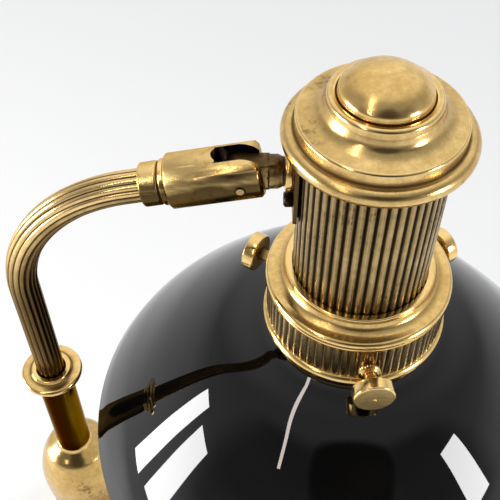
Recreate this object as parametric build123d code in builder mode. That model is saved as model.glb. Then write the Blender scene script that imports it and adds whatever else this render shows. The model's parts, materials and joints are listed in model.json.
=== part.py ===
"""Brass table lamp with a reeded swan-neck arm, a slotted knuckle and a black glass dome shade."""
from math import cos, hypot, radians, sin, tan
import os

from build123d import *

os.makedirs("parts", exist_ok=True)

# Main layout, millimetres, post axis on Z and arm along +X
SHADE_R = 100.0
POST_R = 7.0
RIM_GAP = 8.0
REACH = SHADE_R + POST_R + RIM_GAP
FITTER_Z = 360.0
PIN_LIFT = 47.4
PIN_Z = FITTER_Z + PIN_LIFT
BARREL_RISE = 10.9

# Clearances
FIT = 0.05
RUN = 0.06
SLIDE = 0.10
FREE = 0.30

# Base
BASE_R = 92.5
PAD_INSET = 1.0
PAD_R = BASE_R - PAD_INSET
PAD_T = 2.0
BASE_WALL = 1.6
RIM_TOP_Z = 15.0
RIM_STEP = 12.5
TIER_R = BASE_R - RIM_STEP
TIER_Z = 20.0
HUB_R = 26.0
HUB_Z = 34.0
COVE_SHARE = 0.389
COVE_R = HUB_R + COVE_SHARE * (TIER_R - HUB_R)
PLATE_T = 1.0
WEIGHT_GAP = 1.4
WEIGHT_R = TIER_R - BASE_WALL - WEIGHT_GAP
WEIGHT_TOP_Z = 17.0
WEIGHT_HUB_R = 22.0
BUSH_Z = 8.4
BUSH_R = 4.2
BUSH_BORE_R = 3.2
BUSH_FLANGE_R = 5.6

# Tie tube that clamps the column to the base
TIE_R = 5.0
TIE_BORE_R = 3.9
TIE_NUT_R = 9.0
TIE_NUT_T = 5.0
TIE_WASHER_R = 12.0
TIE_WASHER_T = 1.0
TIE_FOOT_Z = 3.6

# Switch on the base tier
SWITCH_Y = -0.5 * (COVE_R + TIER_R)
BUTTON_R = 5.5
BUTTON_PROUD = 3.6
BUTTON_TRAVEL = 3.0
BEZEL_R = 8.6
BEZEL_T = 2.2
SWITCH_BODY_R = 9.4
SWITCH_BARREL_R = 7.0

# Column
FOOT_R = 25.4
FOOT_TOP_Z = 56.0
COLUMN_R = 9.0
COLUMN_BORE_R = 7.6
VASE_FOOT_Z = 160.0
VASE_TOP_Z = 245.0
VASE_R = 18.0
POST_BORE_R = 6.0
POST_SOCKET = 9.0

# Collar and swing bearing
COLLAR_DROP = 59.6
COLLAR_TOP_Z = FITTER_Z - COLLAR_DROP
COLLAR_R = 11.8
COLLAR_H = 6.8
PLUG_DEPTH = 24.4
JOURNAL_R = 3.9
SPIGOT_BORE_R = 2.6
SWING_RING_R = 5.6
SWING_RING_H = 3.6
SEAT_DEPTH = 4.75
SWING_WASHER_T = 0.5
SPIGOT_FLANGE_T = 1.8
SPIGOT_L = 20.0
SPIGOT_TAIL = 5.0

# Swan-neck arm
ARM_R = 5.25
ARM_REED_DEPTH = 0.5
ARM_VALLEY_R = ARM_R - ARM_REED_DEPTH
ARM_BORE_R = 3.6
ARM_REEDS = 14
BEND_SHARE = 0.664

# Knuckle
BARREL_R = 8.5
BARREL_BACK = 22.1
BARREL_FRONT = 6.5
BARREL_CHAMFER = 0.9
CHEEK_ROUND_R = 7.9
SLOT_W = 6.4
SLOT_BACK = 7.2
SLOT_FLOOR = 6.6
PIN_R = 1.65
PIN_PROUD = 0.25
FERRULE_R = 6.8
FERRULE_L = 8.0
TONGUE_T = 6.0
TONGUE_R = 4.7
TONGUE_L = 8.2
NECK_R = 5.2
NECK_L = 4.2

# Swivel and bracket
PLATE_W = 14.0
BRACKET_T = 1.2
BRACKET_LOW = 30.5
BRACKET_HIGH = 58.0
STUD_R = 3.0
STUD_FLANGE_R = 6.0
STUD_FLANGE_T = 2.8
STUD_GROOVE_R = 2.2
SWIVEL_WASHER_R = 4.5
SWIVEL_WASHER_T = 0.6
GRUB_R = 1.2
GROOVE_PLAY = 0.3
STUD_SINK = 0.2
BRACKET_SCREW_LOW = 35.5
BRACKET_SCREW_R = 1.5
SCREW_HEAD_R = 2.5
SCREW_HEAD_T = 2.8

# Lampholder cover
SHELL_R = 22.6
SHELL_REED_DEPTH = 0.8
SHELL_VALLEY_R = SHELL_R - SHELL_REED_DEPTH
SHELL_WALL = 2.0
SHELL_BORE_R = SHELL_R - SHELL_WALL
SHELL_REEDS = 48
SHELL_LOW = 3.0
SHELL_HIGH = 66.0

# Cap and finial
CAP_EDGE_OUT = 1.9
CAP_EDGE_R = SHELL_R + CAP_EDGE_OUT
CAP_EDGE = 69.0
CAP_COVE_W = 8.2
CAP_STEP_R = CAP_EDGE_R - CAP_COVE_W
CAP_STEP = 76.6
CAP_BEAD_OUT = 3.9
CAP_BEAD_R = CAP_EDGE_R + CAP_BEAD_OUT
CAP_BEAD = 62.6
CAP_WALL = 1.4
FINIAL_INSET = 2.9
FINIAL_R = CAP_STEP_R - FINIAL_INSET
FINIAL_TOP = 84.0

# Gallery that carries the shade
LEDGE_W = 2.5
LEDGE_R = SHELL_R + LEDGE_W
LEDGE = 6.1
RING_COVE_W = 6.4
RING_R = LEDGE_R + RING_COVE_W
RING_LIP = 1.1
RING_BORE_R = SHELL_BORE_R - RING_LIP
SKIRT_INSET = 0.6
SKIRT_R = RING_R - SKIRT_INSET
SKIRT_FLUTE_DEPTH = 0.6
SKIRT_VALLEY_R = SKIRT_R - SKIRT_FLUTE_DEPTH
SKIRT_WALL = 1.7
SKIRT_BORE_R = SKIRT_R - SKIRT_WALL
SKIRT_FLUTES = 64
SKIRT_TOP = -3.2
SKIRT_LOW = -18.2
RIM_OUT = 1.2
RIM_R = SKIRT_R + RIM_OUT
RIM_LOW = -22.3

# Thumbscrews
SCREW_ANGLES = (-86.0, 34.0, 150.0)
SCREW_LEVEL = -13.0
SHANK_R = 2.0
THUMB_R = 7.0
THUMB_T = 4.4
THUMB_GAP = 4.6
BOSS_R = 3.0
BOSS_FLANGE_R = 3.7
BOSS_PROUD = 2.3
BOSS_OUT = SKIRT_R + BOSS_PROUD
THUMB_IN = BOSS_OUT + THUMB_GAP

# Glass shade
LIP_GAP = 0.6
LIP_R = SKIRT_BORE_R - LIP_GAP
LIP_OUT = 1.8
GLASS_NECK_R = LIP_R - LIP_OUT
GLASS_T = 3.0
SHOULDER_W = 6.2
DOME_TOP_R = GLASS_NECK_R + SHOULDER_W
DOME_TOP = -25.5
SHADE_RIM = -90.0

# Lampholder and bulb
NIPPLE_R = 4.0
NIPPLE_BORE_R = 2.9
HOLDER_GAP = 4.1
HOLDER_R = SHELL_BORE_R - HOLDER_GAP
HOLDER_LOW = 14.0
HOLDER_HIGH = 52.0
HOLDER_WALL = 2.7
SOCKET_R = HOLDER_R - HOLDER_WALL
SOCKET_T = 0.6
CONTACT_R = 4.0
BULB_EXTRA = 0.2
BULB_R = GLASS_NECK_R - GLASS_T + BULB_EXTRA
BULB_DROP = 14.5
BULB_CENTRE = DOME_TOP - BULB_DROP
BULB_T = 1.0

# Places along the neck, from the cover back to the pin
BRACKET_OUT_X = REACH - SHELL_R - BRACKET_T
WASHER_X = BRACKET_OUT_X - STUD_FLANGE_T - SWIVEL_WASHER_T
NECK_END_X = WASHER_X - SLIDE
NECK_X = NECK_END_X - NECK_L
PIN_X = NECK_X - TONGUE_L
STUD_END_X = NECK_X + STUD_SINK
GRUB_X = NECK_END_X - GRUB_R - GROOVE_PLAY - 0.4
BEND_R = BEND_SHARE * PIN_X

HEAD = Plane(origin=(REACH, 0, FITTER_Z), x_dir=(1, 0, 0), z_dir=(0, -1, 0))
HEAD_AXIS = Axis((REACH, 0, FITTER_Z), (0, 0, 1))
RISE = radians(BARREL_RISE)
KNUCKLE = Plane(origin=(PIN_X, 0, PIN_Z), x_dir=(cos(RISE), 0, sin(RISE)), z_dir=(0, -1, 0))
KNUCKLE_AXIS = Axis((PIN_X, 0, PIN_Z), (cos(RISE), 0, sin(RISE)))
NECK_AXIS = Axis((PIN_X, 0, PIN_Z), (1, 0, 0))
NECK = Plane(origin=(0, 0, PIN_Z), x_dir=(1, 0, 0), z_dir=(0, -1, 0))


def polar(radius, angle):
    """Point at a radius and an angle in degrees."""
    return (radius * cos(radians(angle)), radius * sin(radians(angle)))


def inset(points, depth):
    """Moves each point of a falling profile inward along the profile's normal."""
    moved = []
    for i, (r, z) in enumerate(points):
        ra, za = points[max(i - 1, 0)]
        rb, zb = points[min(i + 1, len(points) - 1)]
        length = hypot(rb - ra, zb - za)
        moved.append((r + depth * (zb - za) / length, z - depth * (rb - ra) / length))
    return moved


# Base pad, the face the lamp stands on
with BuildPart() as base_pad:
    with BuildSketch(Plane.XY):
        Circle(PAD_R)
    extrude(amount=PAD_T)
base_pad.part.label = "base_pad"
export_step(base_pad.part, "parts/base_pad.step")

# Base plate that closes the underside
with BuildPart() as base_plate:
    with BuildSketch(Plane.XY.offset(PAD_T)):
        Circle(BASE_R - BASE_WALL - FIT)
    extrude(amount=PLATE_T)
base_plate.part.label = "base_plate"
export_step(base_plate.part, "parts/base_plate.step")

# Base shell, spun and stepped
BASE_IN_R = BASE_R - BASE_WALL
TIER_IN_R = TIER_R - BASE_WALL
with BuildPart() as base_shell:
    with BuildSketch(Plane.XZ):
        with BuildLine():
            Polyline(
                (TIE_R + FIT, HUB_Z - BASE_WALL),
                (TIE_R + FIT, HUB_Z),
                (HUB_R - 0.6, HUB_Z),
                (HUB_R, HUB_Z - 0.6),
                (HUB_R, HUB_Z - 1.2),
            )
            ThreePointArc(
                (HUB_R, HUB_Z - 1.2),
                (0.66 * HUB_R + 0.34 * COVE_R, 0.70 * TIER_Z + 0.30 * HUB_Z),
                (COVE_R, TIER_Z),
            )
            Polyline(
                (COVE_R, TIER_Z),
                (TIER_R - 1.4, TIER_Z),
                (TIER_R, TIER_Z - 1.4),
                (TIER_R, RIM_TOP_Z + 1.2),
                (TIER_R + 1.2, RIM_TOP_Z),
                (BASE_R - 1.6, RIM_TOP_Z),
                (BASE_R, RIM_TOP_Z - 1.6),
                (BASE_R, PAD_T + 1.2),
                (BASE_R - 1.2, PAD_T),
                (BASE_IN_R, PAD_T),
                (BASE_IN_R, RIM_TOP_Z - BASE_WALL),
                (TIER_IN_R, RIM_TOP_Z - BASE_WALL),
                (TIER_IN_R, TIER_Z - BASE_WALL),
                (COVE_R - 0.5 * BASE_WALL, TIER_Z - BASE_WALL),
            )
            ThreePointArc(
                (COVE_R - 0.5 * BASE_WALL, TIER_Z - BASE_WALL),
                (0.66 * HUB_R + 0.34 * COVE_R - 1.1, 0.70 * TIER_Z + 0.30 * HUB_Z - 1.3),
                (HUB_R - BASE_WALL, HUB_Z - BASE_WALL),
            )
            Line((HUB_R - BASE_WALL, HUB_Z - BASE_WALL), (TIE_R + FIT, HUB_Z - BASE_WALL))
        make_face()
    revolve(axis=Axis.Z)
    with BuildSketch(Plane.XY.offset(TIER_Z - BASE_WALL - 1)):
        with Locations((0, SWITCH_Y)):
            Circle(SWITCH_BARREL_R + FIT)
    extrude(amount=BASE_WALL + 2, mode=Mode.SUBTRACT)
    with BuildSketch(Plane.YZ.offset(-BASE_R - 1)):
        with Locations((0, BUSH_Z)):
            Circle(BUSH_R + FIT)
    extrude(amount=BASE_WALL + 3, mode=Mode.SUBTRACT)
base_shell.part.label = "base_shell"
export_step(base_shell.part, "parts/base_shell.step")

# Cast-iron weight with pockets for the nut and the switch
NUT_FLOOR_Z = TIE_FOOT_Z + TIE_NUT_T + TIE_WASHER_T + 0.6
with BuildPart() as base_weight:
    with BuildSketch(Plane.XY.offset(PAD_T + PLATE_T)):
        Circle(WEIGHT_R)
    extrude(amount=WEIGHT_TOP_Z - PAD_T - PLATE_T)
    with BuildSketch(Plane.XY.offset(WEIGHT_TOP_Z)):
        Circle(WEIGHT_HUB_R)
    extrude(amount=HUB_Z - BASE_WALL - WEIGHT_TOP_Z)
    with BuildSketch(Plane.XY.offset(PAD_T + PLATE_T)):
        Circle(TIE_WASHER_R + 2)
    extrude(amount=NUT_FLOOR_Z - PAD_T - PLATE_T, mode=Mode.SUBTRACT)
    with BuildSketch(Plane.XY.offset(PAD_T)):
        Circle(TIE_R + FIT)
        with Locations((0, SWITCH_Y)):
            Circle(SWITCH_BODY_R + 1.4)
    extrude(amount=HUB_Z, mode=Mode.SUBTRACT)
base_weight.part.label = "base_weight"
export_step(base_weight.part, "parts/base_weight.step")

# Threaded tie tube
with BuildPart() as tie_tube:
    with BuildSketch(Plane.XY.offset(TIE_FOOT_Z)):
        Circle(TIE_R)
        Circle(TIE_BORE_R, mode=Mode.SUBTRACT)
    extrude(amount=VASE_FOOT_Z + 18 - TIE_FOOT_Z)
tie_tube.part.label = "tie_tube"
export_step(tie_tube.part, "parts/tie_tube.step")

# Washer and nut under the weight
with BuildPart() as tie_washer:
    with BuildSketch(Plane.XY.offset(NUT_FLOOR_Z - TIE_WASHER_T)):
        Circle(TIE_WASHER_R)
        Circle(TIE_R + FIT, mode=Mode.SUBTRACT)
    extrude(amount=TIE_WASHER_T)
tie_washer.part.label = "tie_washer"
export_step(tie_washer.part, "parts/tie_washer.step")

with BuildPart() as tie_nut:
    with BuildSketch(Plane.XY.offset(NUT_FLOOR_Z - TIE_WASHER_T - TIE_NUT_T)):
        RegularPolygon(TIE_NUT_R, 6)
        Circle(TIE_R + FIT, mode=Mode.SUBTRACT)
    extrude(amount=TIE_NUT_T)
tie_nut.part.label = "tie_nut"
export_step(tie_nut.part, "parts/tie_nut.step")

# Inlet bush in the rear of the base rim
with BuildPart() as cord_bush:
    with BuildSketch(Plane.YZ.offset(-BASE_R - 2.4)):
        with Locations((0, BUSH_Z)):
            Circle(BUSH_FLANGE_R)
    extrude(amount=2.4)
    with BuildSketch(Plane.YZ.offset(-BASE_R)):
        with Locations((0, BUSH_Z)):
            Circle(BUSH_R)
    extrude(amount=BASE_WALL + 6)
    with BuildSketch(Plane.YZ.offset(-BASE_R - 4)):
        with Locations((0, BUSH_Z)):
            Circle(BUSH_BORE_R)
    extrude(amount=BASE_WALL + 14, mode=Mode.SUBTRACT)
cord_bush.part.label = "cord_bush"
export_step(cord_bush.part, "parts/cord_bush.step")

# Push switch: housing, bezel and button
SWITCH_SEAT_Z = TIER_Z - BASE_WALL
BUTTON_FOOT_Z = TIER_Z - 8.0
with BuildPart() as switch_body:
    with BuildSketch(Plane.XY.offset(PAD_T + PLATE_T)):
        with Locations((0, SWITCH_Y)):
            Circle(SWITCH_BODY_R)
    extrude(amount=SWITCH_SEAT_Z - PAD_T - PLATE_T)
    with BuildSketch(Plane.XY.offset(BUTTON_FOOT_Z - BUTTON_TRAVEL - 1)):
        with Locations((0, SWITCH_Y)):
            Circle(BUTTON_R + SLIDE)
    extrude(amount=TIER_Z, mode=Mode.SUBTRACT)
switch_body.part.label = "switch_body"
export_step(switch_body.part, "parts/switch_body.step")

with BuildPart() as switch_bezel:
    with BuildSketch(Plane.XY.offset(TIER_Z)):
        with Locations((0, SWITCH_Y)):
            Circle(BEZEL_R)
    extrude(amount=BEZEL_T)
    chamfer(switch_bezel.edges().group_by(Axis.Z)[-1], 0.8)
    with BuildSketch(Plane.XY.offset(SWITCH_SEAT_Z)):
        with Locations((0, SWITCH_Y)):
            Circle(SWITCH_BARREL_R)
    extrude(amount=BASE_WALL)
    with BuildSketch(Plane.XY.offset(SWITCH_SEAT_Z)):
        with Locations((0, SWITCH_Y)):
            Circle(BUTTON_R + 4 * SLIDE)
    extrude(amount=BASE_WALL + BEZEL_T, mode=Mode.SUBTRACT)
switch_bezel.part.label = "switch_bezel"
export_step(switch_bezel.part, "parts/switch_bezel.step")

with BuildPart() as switch_button:
    with BuildSketch(Plane.XY.offset(BUTTON_FOOT_Z)):
        with Locations((0, SWITCH_Y)):
            Circle(BUTTON_R)
    extrude(amount=TIER_Z + BEZEL_T + BUTTON_PROUD - BUTTON_FOOT_Z)
    fillet(switch_button.edges().group_by(Axis.Z)[-1], 1.2)
switch_button.part.label = "switch_button"
export_step(switch_button.part, "parts/switch_button.step")

# Turned foot of the column
with BuildPart() as column_foot:
    with BuildSketch(Plane.XZ):
        with BuildLine():
            Polyline(
                (TIE_R + FIT, HUB_Z),
                (FOOT_R - 0.8, HUB_Z),
                (FOOT_R, HUB_Z + 0.8),
                (FOOT_R, HUB_Z + 2.6),
                (FOOT_R - 0.8, HUB_Z + 3.4),
                (FOOT_R - 4.2, HUB_Z + 4.2),
            )
            ThreePointArc(
                (FOOT_R - 4.2, HUB_Z + 4.2),
                (COLUMN_R + 5.2, HUB_Z + 8.2),
                (COLUMN_R + 2.4, FOOT_TOP_Z - 6),
            )
            Line((COLUMN_R + 2.4, FOOT_TOP_Z - 6), (COLUMN_R + 3.2, FOOT_TOP_Z - 5.2))
            ThreePointArc(
                (COLUMN_R + 3.2, FOOT_TOP_Z - 5.2),
                (COLUMN_R + 4.4, FOOT_TOP_Z - 3.4),
                (COLUMN_R + 3.2, FOOT_TOP_Z - 1.6),
            )
            Polyline(
                (COLUMN_R + 3.2, FOOT_TOP_Z - 1.6),
                (COLUMN_R + 1.6, FOOT_TOP_Z),
                (COLUMN_R + FIT, FOOT_TOP_Z),
                (COLUMN_R + FIT, FOOT_TOP_Z - 8),
                (TIE_R + FIT, FOOT_TOP_Z - 8),
                (TIE_R + FIT, HUB_Z),
            )
        make_face()
    revolve(axis=Axis.Z)
column_foot.part.label = "column_foot"
export_step(column_foot.part, "parts/column_foot.step")

# Lower column tube
with BuildPart() as column_tube:
    with BuildSketch(Plane.XY.offset(FOOT_TOP_Z - 8)):
        Circle(COLUMN_R)
        Circle(COLUMN_BORE_R, mode=Mode.SUBTRACT)
    extrude(amount=VASE_FOOT_Z - FOOT_TOP_Z + 8)
column_tube.part.label = "column_tube"
export_step(column_tube.part, "parts/column_tube.step")

# Turned vase on the column
VASE_H = VASE_TOP_Z - VASE_FOOT_Z
with BuildPart() as column_vase:
    with BuildSketch(Plane.XZ):
        with BuildLine():
            Line((TIE_R + FIT, VASE_FOOT_Z), (COLUMN_R + 2.0, VASE_FOOT_Z))
            ThreePointArc(
                (COLUMN_R + 2.0, VASE_FOOT_Z),
                (COLUMN_R + 3.2, VASE_FOOT_Z + 1.9),
                (COLUMN_R + 2.0, VASE_FOOT_Z + 3.8),
            )
            Line((COLUMN_R + 2.0, VASE_FOOT_Z + 3.8), (COLUMN_R + 0.4, VASE_FOOT_Z + 4.6))
            Spline(
                (COLUMN_R + 0.4, VASE_FOOT_Z + 4.6),
                (VASE_R - 5.4, VASE_FOOT_Z + 0.20 * VASE_H),
                (VASE_R - 1.6, VASE_FOOT_Z + 0.40 * VASE_H),
                (VASE_R, VASE_FOOT_Z + 0.70 * VASE_H),
                (VASE_R - 4.0, VASE_FOOT_Z + 0.885 * VASE_H),
                (POST_R + 2.0, VASE_TOP_Z - 4.2),
            )
            Line((POST_R + 2.0, VASE_TOP_Z - 4.2), (POST_R + 2.6, VASE_TOP_Z - 3.6))
            ThreePointArc(
                (POST_R + 2.6, VASE_TOP_Z - 3.6),
                (POST_R + 3.6, VASE_TOP_Z - 1.8),
                (POST_R + 2.6, VASE_TOP_Z),
            )
            Polyline(
                (POST_R + 2.6, VASE_TOP_Z),
                (POST_R + FIT, VASE_TOP_Z),
                (POST_R + FIT, VASE_TOP_Z - POST_SOCKET),
                (TIE_BORE_R, VASE_TOP_Z - POST_SOCKET),
                (TIE_BORE_R, VASE_FOOT_Z + 18),
                (TIE_R + FIT, VASE_FOOT_Z + 18),
                (TIE_R + FIT, VASE_FOOT_Z),
            )
        make_face()
    revolve(axis=Axis.Z)
column_vase.part.label = "column_vase"
export_step(column_vase.part, "parts/column_vase.step")

# Plain post tube
with BuildPart() as post_tube:
    with BuildSketch(Plane.XY.offset(VASE_TOP_Z - POST_SOCKET)):
        Circle(POST_R)
        Circle(POST_BORE_R, mode=Mode.SUBTRACT)
    extrude(amount=COLLAR_TOP_Z - COLLAR_H - VASE_TOP_Z + POST_SOCKET)
post_tube.part.label = "post_tube"
export_step(post_tube.part, "parts/post_tube.step")

# Flanged collar, the bearing of the swinging arm
SEAT_Z = COLLAR_TOP_Z - SEAT_DEPTH
with BuildPart() as collar:
    with BuildSketch(Plane.XZ):
        with BuildLine():
            Polyline(
                (ARM_R + FREE, SEAT_Z),
                (ARM_R + FREE, COLLAR_TOP_Z),
                (COLLAR_R - 4.4, COLLAR_TOP_Z),
                (COLLAR_R - 3.8, COLLAR_TOP_Z - 0.6),
                (COLLAR_R - 3.6, COLLAR_TOP_Z - 1.3),
                (COLLAR_R - 1.4, COLLAR_TOP_Z - 1.3),
            )
            ThreePointArc(
                (COLLAR_R - 1.4, COLLAR_TOP_Z - 1.3),
                (COLLAR_R, COLLAR_TOP_Z - 2.7),
                (COLLAR_R - 1.4, COLLAR_TOP_Z - 4.1),
            )
            Polyline(
                (COLLAR_R - 1.4, COLLAR_TOP_Z - 4.1),
                (POST_R + 1.2, COLLAR_TOP_Z - 4.7),
                (POST_R + 0.5, COLLAR_TOP_Z - COLLAR_H),
                (POST_BORE_R - FIT, COLLAR_TOP_Z - COLLAR_H),
                (POST_BORE_R - FIT, COLLAR_TOP_Z - PLUG_DEPTH),
                (JOURNAL_R + RUN, COLLAR_TOP_Z - PLUG_DEPTH),
                (JOURNAL_R + RUN, SEAT_Z),
                (ARM_R + FREE, SEAT_Z),
            )
        make_face()
    revolve(axis=Axis.Z)
collar.part.label = "collar"
export_step(collar.part, "parts/collar.step")

# Spigot in the foot of the arm, with its washer and retaining ring
WASHER_Z = SEAT_Z + FIT
FLANGE_Z = WASHER_Z + SWING_WASHER_T
ARM_FOOT_Z = FLANGE_Z + SPIGOT_FLANGE_T
RING_TOP_Z = COLLAR_TOP_Z - PLUG_DEPTH - SLIDE
with BuildPart() as arm_spigot:
    with BuildSketch(Plane.XZ):
        with BuildLine():
            Polyline(
                (SPIGOT_BORE_R, RING_TOP_Z - SPIGOT_TAIL),
                (JOURNAL_R, RING_TOP_Z - SPIGOT_TAIL),
                (JOURNAL_R, FLANGE_Z),
                (ARM_R - 0.1, FLANGE_Z),
                (ARM_R - 0.1, ARM_FOOT_Z),
                (ARM_BORE_R - FIT, ARM_FOOT_Z),
                (ARM_BORE_R - FIT, ARM_FOOT_Z + SPIGOT_L),
                (SPIGOT_BORE_R, ARM_FOOT_Z + SPIGOT_L),
                (SPIGOT_BORE_R, RING_TOP_Z - SPIGOT_TAIL),
            )
        make_face()
    revolve(axis=Axis.Z)
arm_spigot.part.label = "arm_spigot"
export_step(arm_spigot.part, "parts/arm_spigot.step")

with BuildPart() as swing_washer:
    with BuildSketch(Plane.XY.offset(WASHER_Z)):
        Circle(ARM_R - 0.1)
        Circle(JOURNAL_R + FIT, mode=Mode.SUBTRACT)
    extrude(amount=SWING_WASHER_T)
swing_washer.part.label = "swing_washer"
export_step(swing_washer.part, "parts/swing_washer.step")

with BuildPart() as swing_ring:
    with BuildSketch(Plane.XY.offset(RING_TOP_Z - SWING_RING_H)):
        Circle(SWING_RING_R)
        Circle(JOURNAL_R + FIT, mode=Mode.SUBTRACT)
    extrude(amount=SWING_RING_H)
swing_ring.part.label = "swing_ring"
export_step(swing_ring.part, "parts/swing_ring.step")

# Reeded swan-neck arm
CORNER_Z = PIN_Z - PIN_X * tan(RISE)
ARM_SINK = 5.0
ARM_END = BARREL_BACK - ARM_SINK
with BuildPart() as arm_tube:
    with BuildLine(Plane.XZ) as arm_path:
        FilletPolyline(
            (0, ARM_FOOT_Z),
            (0, CORNER_Z),
            (PIN_X - ARM_END * cos(RISE), PIN_Z - ARM_END * sin(RISE)),
            radius=BEND_R,
        )
    with BuildSketch(Plane.XY.offset(ARM_FOOT_Z)):
        with BuildLine():
            for i in range(ARM_REEDS):
                mid = 360.0 * i / ARM_REEDS
                half = 180.0 / ARM_REEDS
                ThreePointArc(
                    polar(ARM_VALLEY_R, mid - half),
                    polar(ARM_R, mid),
                    polar(ARM_VALLEY_R, mid + half),
                )
        make_face()
        Circle(ARM_BORE_R, mode=Mode.SUBTRACT)
    sweep(path=arm_path.line)
arm_tube.part.label = "arm_tube"
export_step(arm_tube.part, "parts/arm_tube.step")

# Ferrule at the end of the arm
with BuildPart() as arm_ferrule:
    with BuildSketch(KNUCKLE):
        with BuildLine():
            Polyline(
                (-BARREL_BACK - FERRULE_L, ARM_R + FIT),
                (-BARREL_BACK - FERRULE_L, FERRULE_R - 0.7),
                (-BARREL_BACK - FERRULE_L + 0.7, FERRULE_R),
                (-BARREL_BACK - 2.6, FERRULE_R),
                (-BARREL_BACK - 2.2, FERRULE_R - 0.5),
                (-BARREL_BACK - 1.8, FERRULE_R - 0.5),
                (-BARREL_BACK - 1.6, FERRULE_R + 0.3),
                (-BARREL_BACK, FERRULE_R + 0.3),
                (-BARREL_BACK, ARM_R + FIT),
                (-BARREL_BACK - FERRULE_L, ARM_R + FIT),
            )
        make_face()
    revolve(axis=KNUCKLE_AXIS)
arm_ferrule.part.label = "arm_ferrule"
export_step(arm_ferrule.part, "parts/arm_ferrule.step")

# Slotted barrel of the knuckle
SLOT_PLANE = Plane(
    origin=(PIN_X + SLOT_FLOOR * sin(RISE), 0, PIN_Z - SLOT_FLOOR * cos(RISE)),
    x_dir=(cos(RISE), 0, sin(RISE)),
    z_dir=(-sin(RISE), 0, cos(RISE)),
)
with BuildPart() as knuckle_barrel:
    with BuildSketch(KNUCKLE):
        with BuildLine():
            Polyline(
                (-BARREL_BACK, ARM_R + FIT),
                (-BARREL_BACK, BARREL_R - BARREL_CHAMFER),
                (-BARREL_BACK + BARREL_CHAMFER, BARREL_R),
                (BARREL_FRONT - BARREL_CHAMFER, BARREL_R),
                (BARREL_FRONT, BARREL_R - BARREL_CHAMFER),
                (BARREL_FRONT, 0),
                (-SLOT_BACK + 2, 0),
                (-SLOT_BACK + 2, ARM_BORE_R - 0.4),
                (-BARREL_BACK + ARM_SINK, ARM_BORE_R - 0.4),
                (-BARREL_BACK + ARM_SINK, ARM_R + FIT),
                (-BARREL_BACK, ARM_R + FIT),
            )
        make_face()
    revolve(axis=KNUCKLE_AXIS)
    with BuildSketch(SLOT_PLANE):
        with Locations((-SLOT_BACK + 0.5 * SLOT_W + 20, 0)):
            Rectangle(40, SLOT_W)
        with Locations((-SLOT_BACK + 0.5 * SLOT_W, 0)):
            Circle(0.5 * SLOT_W)
    extrude(amount=4 * BARREL_R, mode=Mode.SUBTRACT)
    with BuildSketch(KNUCKLE):
        with Locations((BARREL_R, BARREL_R)):
            Rectangle(2 * BARREL_R, 2 * BARREL_R)
        Circle(CHEEK_ROUND_R, mode=Mode.SUBTRACT)
    extrude(amount=2 * BARREL_R, both=True, mode=Mode.SUBTRACT)
    with BuildSketch(KNUCKLE):
        Circle(PIN_R + FIT)
    extrude(amount=2 * BARREL_R, both=True, mode=Mode.SUBTRACT)
knuckle_barrel.part.label = "knuckle_barrel"
export_step(knuckle_barrel.part, "parts/knuckle_barrel.step")

# Cross pin with peened ends
with BuildPart() as knuckle_pin:
    with BuildSketch(KNUCKLE):
        Circle(PIN_R)
    extrude(amount=BARREL_R + PIN_PROUD, both=True)
    fillet(knuckle_pin.edges().filter_by(GeomType.CIRCLE), 0.4)
knuckle_pin.part.label = "knuckle_pin"
export_step(knuckle_pin.part, "parts/knuckle_pin.step")

# Tongue with its round neck
with BuildPart() as knuckle_tongue:
    with BuildSketch(NECK):
        with Locations((PIN_X, 0)):
            Circle(TONGUE_R)
        with Locations((0.5 * (PIN_X + NECK_X + 0.5), 0)):
            Rectangle(NECK_X + 0.5 - PIN_X, 2 * TONGUE_R)
    extrude(amount=0.5 * TONGUE_T, both=True)
    with BuildSketch(NECK):
        with BuildLine():
            Polyline(
                (NECK_X, 0),
                (NECK_X, NECK_R - 0.4),
                (NECK_X + 0.4, NECK_R),
                (NECK_END_X - 1.2, NECK_R),
                (NECK_END_X - 0.4, NECK_R - 0.4),
                (NECK_END_X, NECK_R - 0.5),
                (NECK_END_X, 0),
                (NECK_X, 0),
            )
        make_face()
    revolve(axis=NECK_AXIS)
    with BuildSketch(Plane.YZ.offset(STUD_END_X - 0.4)):
        with Locations((0, PIN_Z)):
            Circle(STUD_R + RUN)
    extrude(amount=20, mode=Mode.SUBTRACT)
    with BuildSketch(NECK):
        with Locations((PIN_X, 0)):
            Circle(PIN_R + RUN)
    extrude(amount=TONGUE_T, both=True, mode=Mode.SUBTRACT)
    with BuildSketch(Plane((GRUB_X, 0, PIN_Z - NECK_R - 1))):
        Circle(GRUB_R + FIT)
    extrude(amount=NECK_R, mode=Mode.SUBTRACT)
knuckle_tongue.part.label = "knuckle_tongue"
export_step(knuckle_tongue.part, "parts/knuckle_tongue.step")

# Grub screw that runs in the stud's groove
with BuildPart() as swivel_grub:
    with BuildSketch(Plane((GRUB_X, 0, PIN_Z - NECK_R + 0.5))):
        Circle(GRUB_R)
    extrude(amount=NECK_R - 0.5 - STUD_GROOVE_R - FREE)
swivel_grub.part.label = "swivel_grub"
export_step(swivel_grub.part, "parts/swivel_grub.step")

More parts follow.
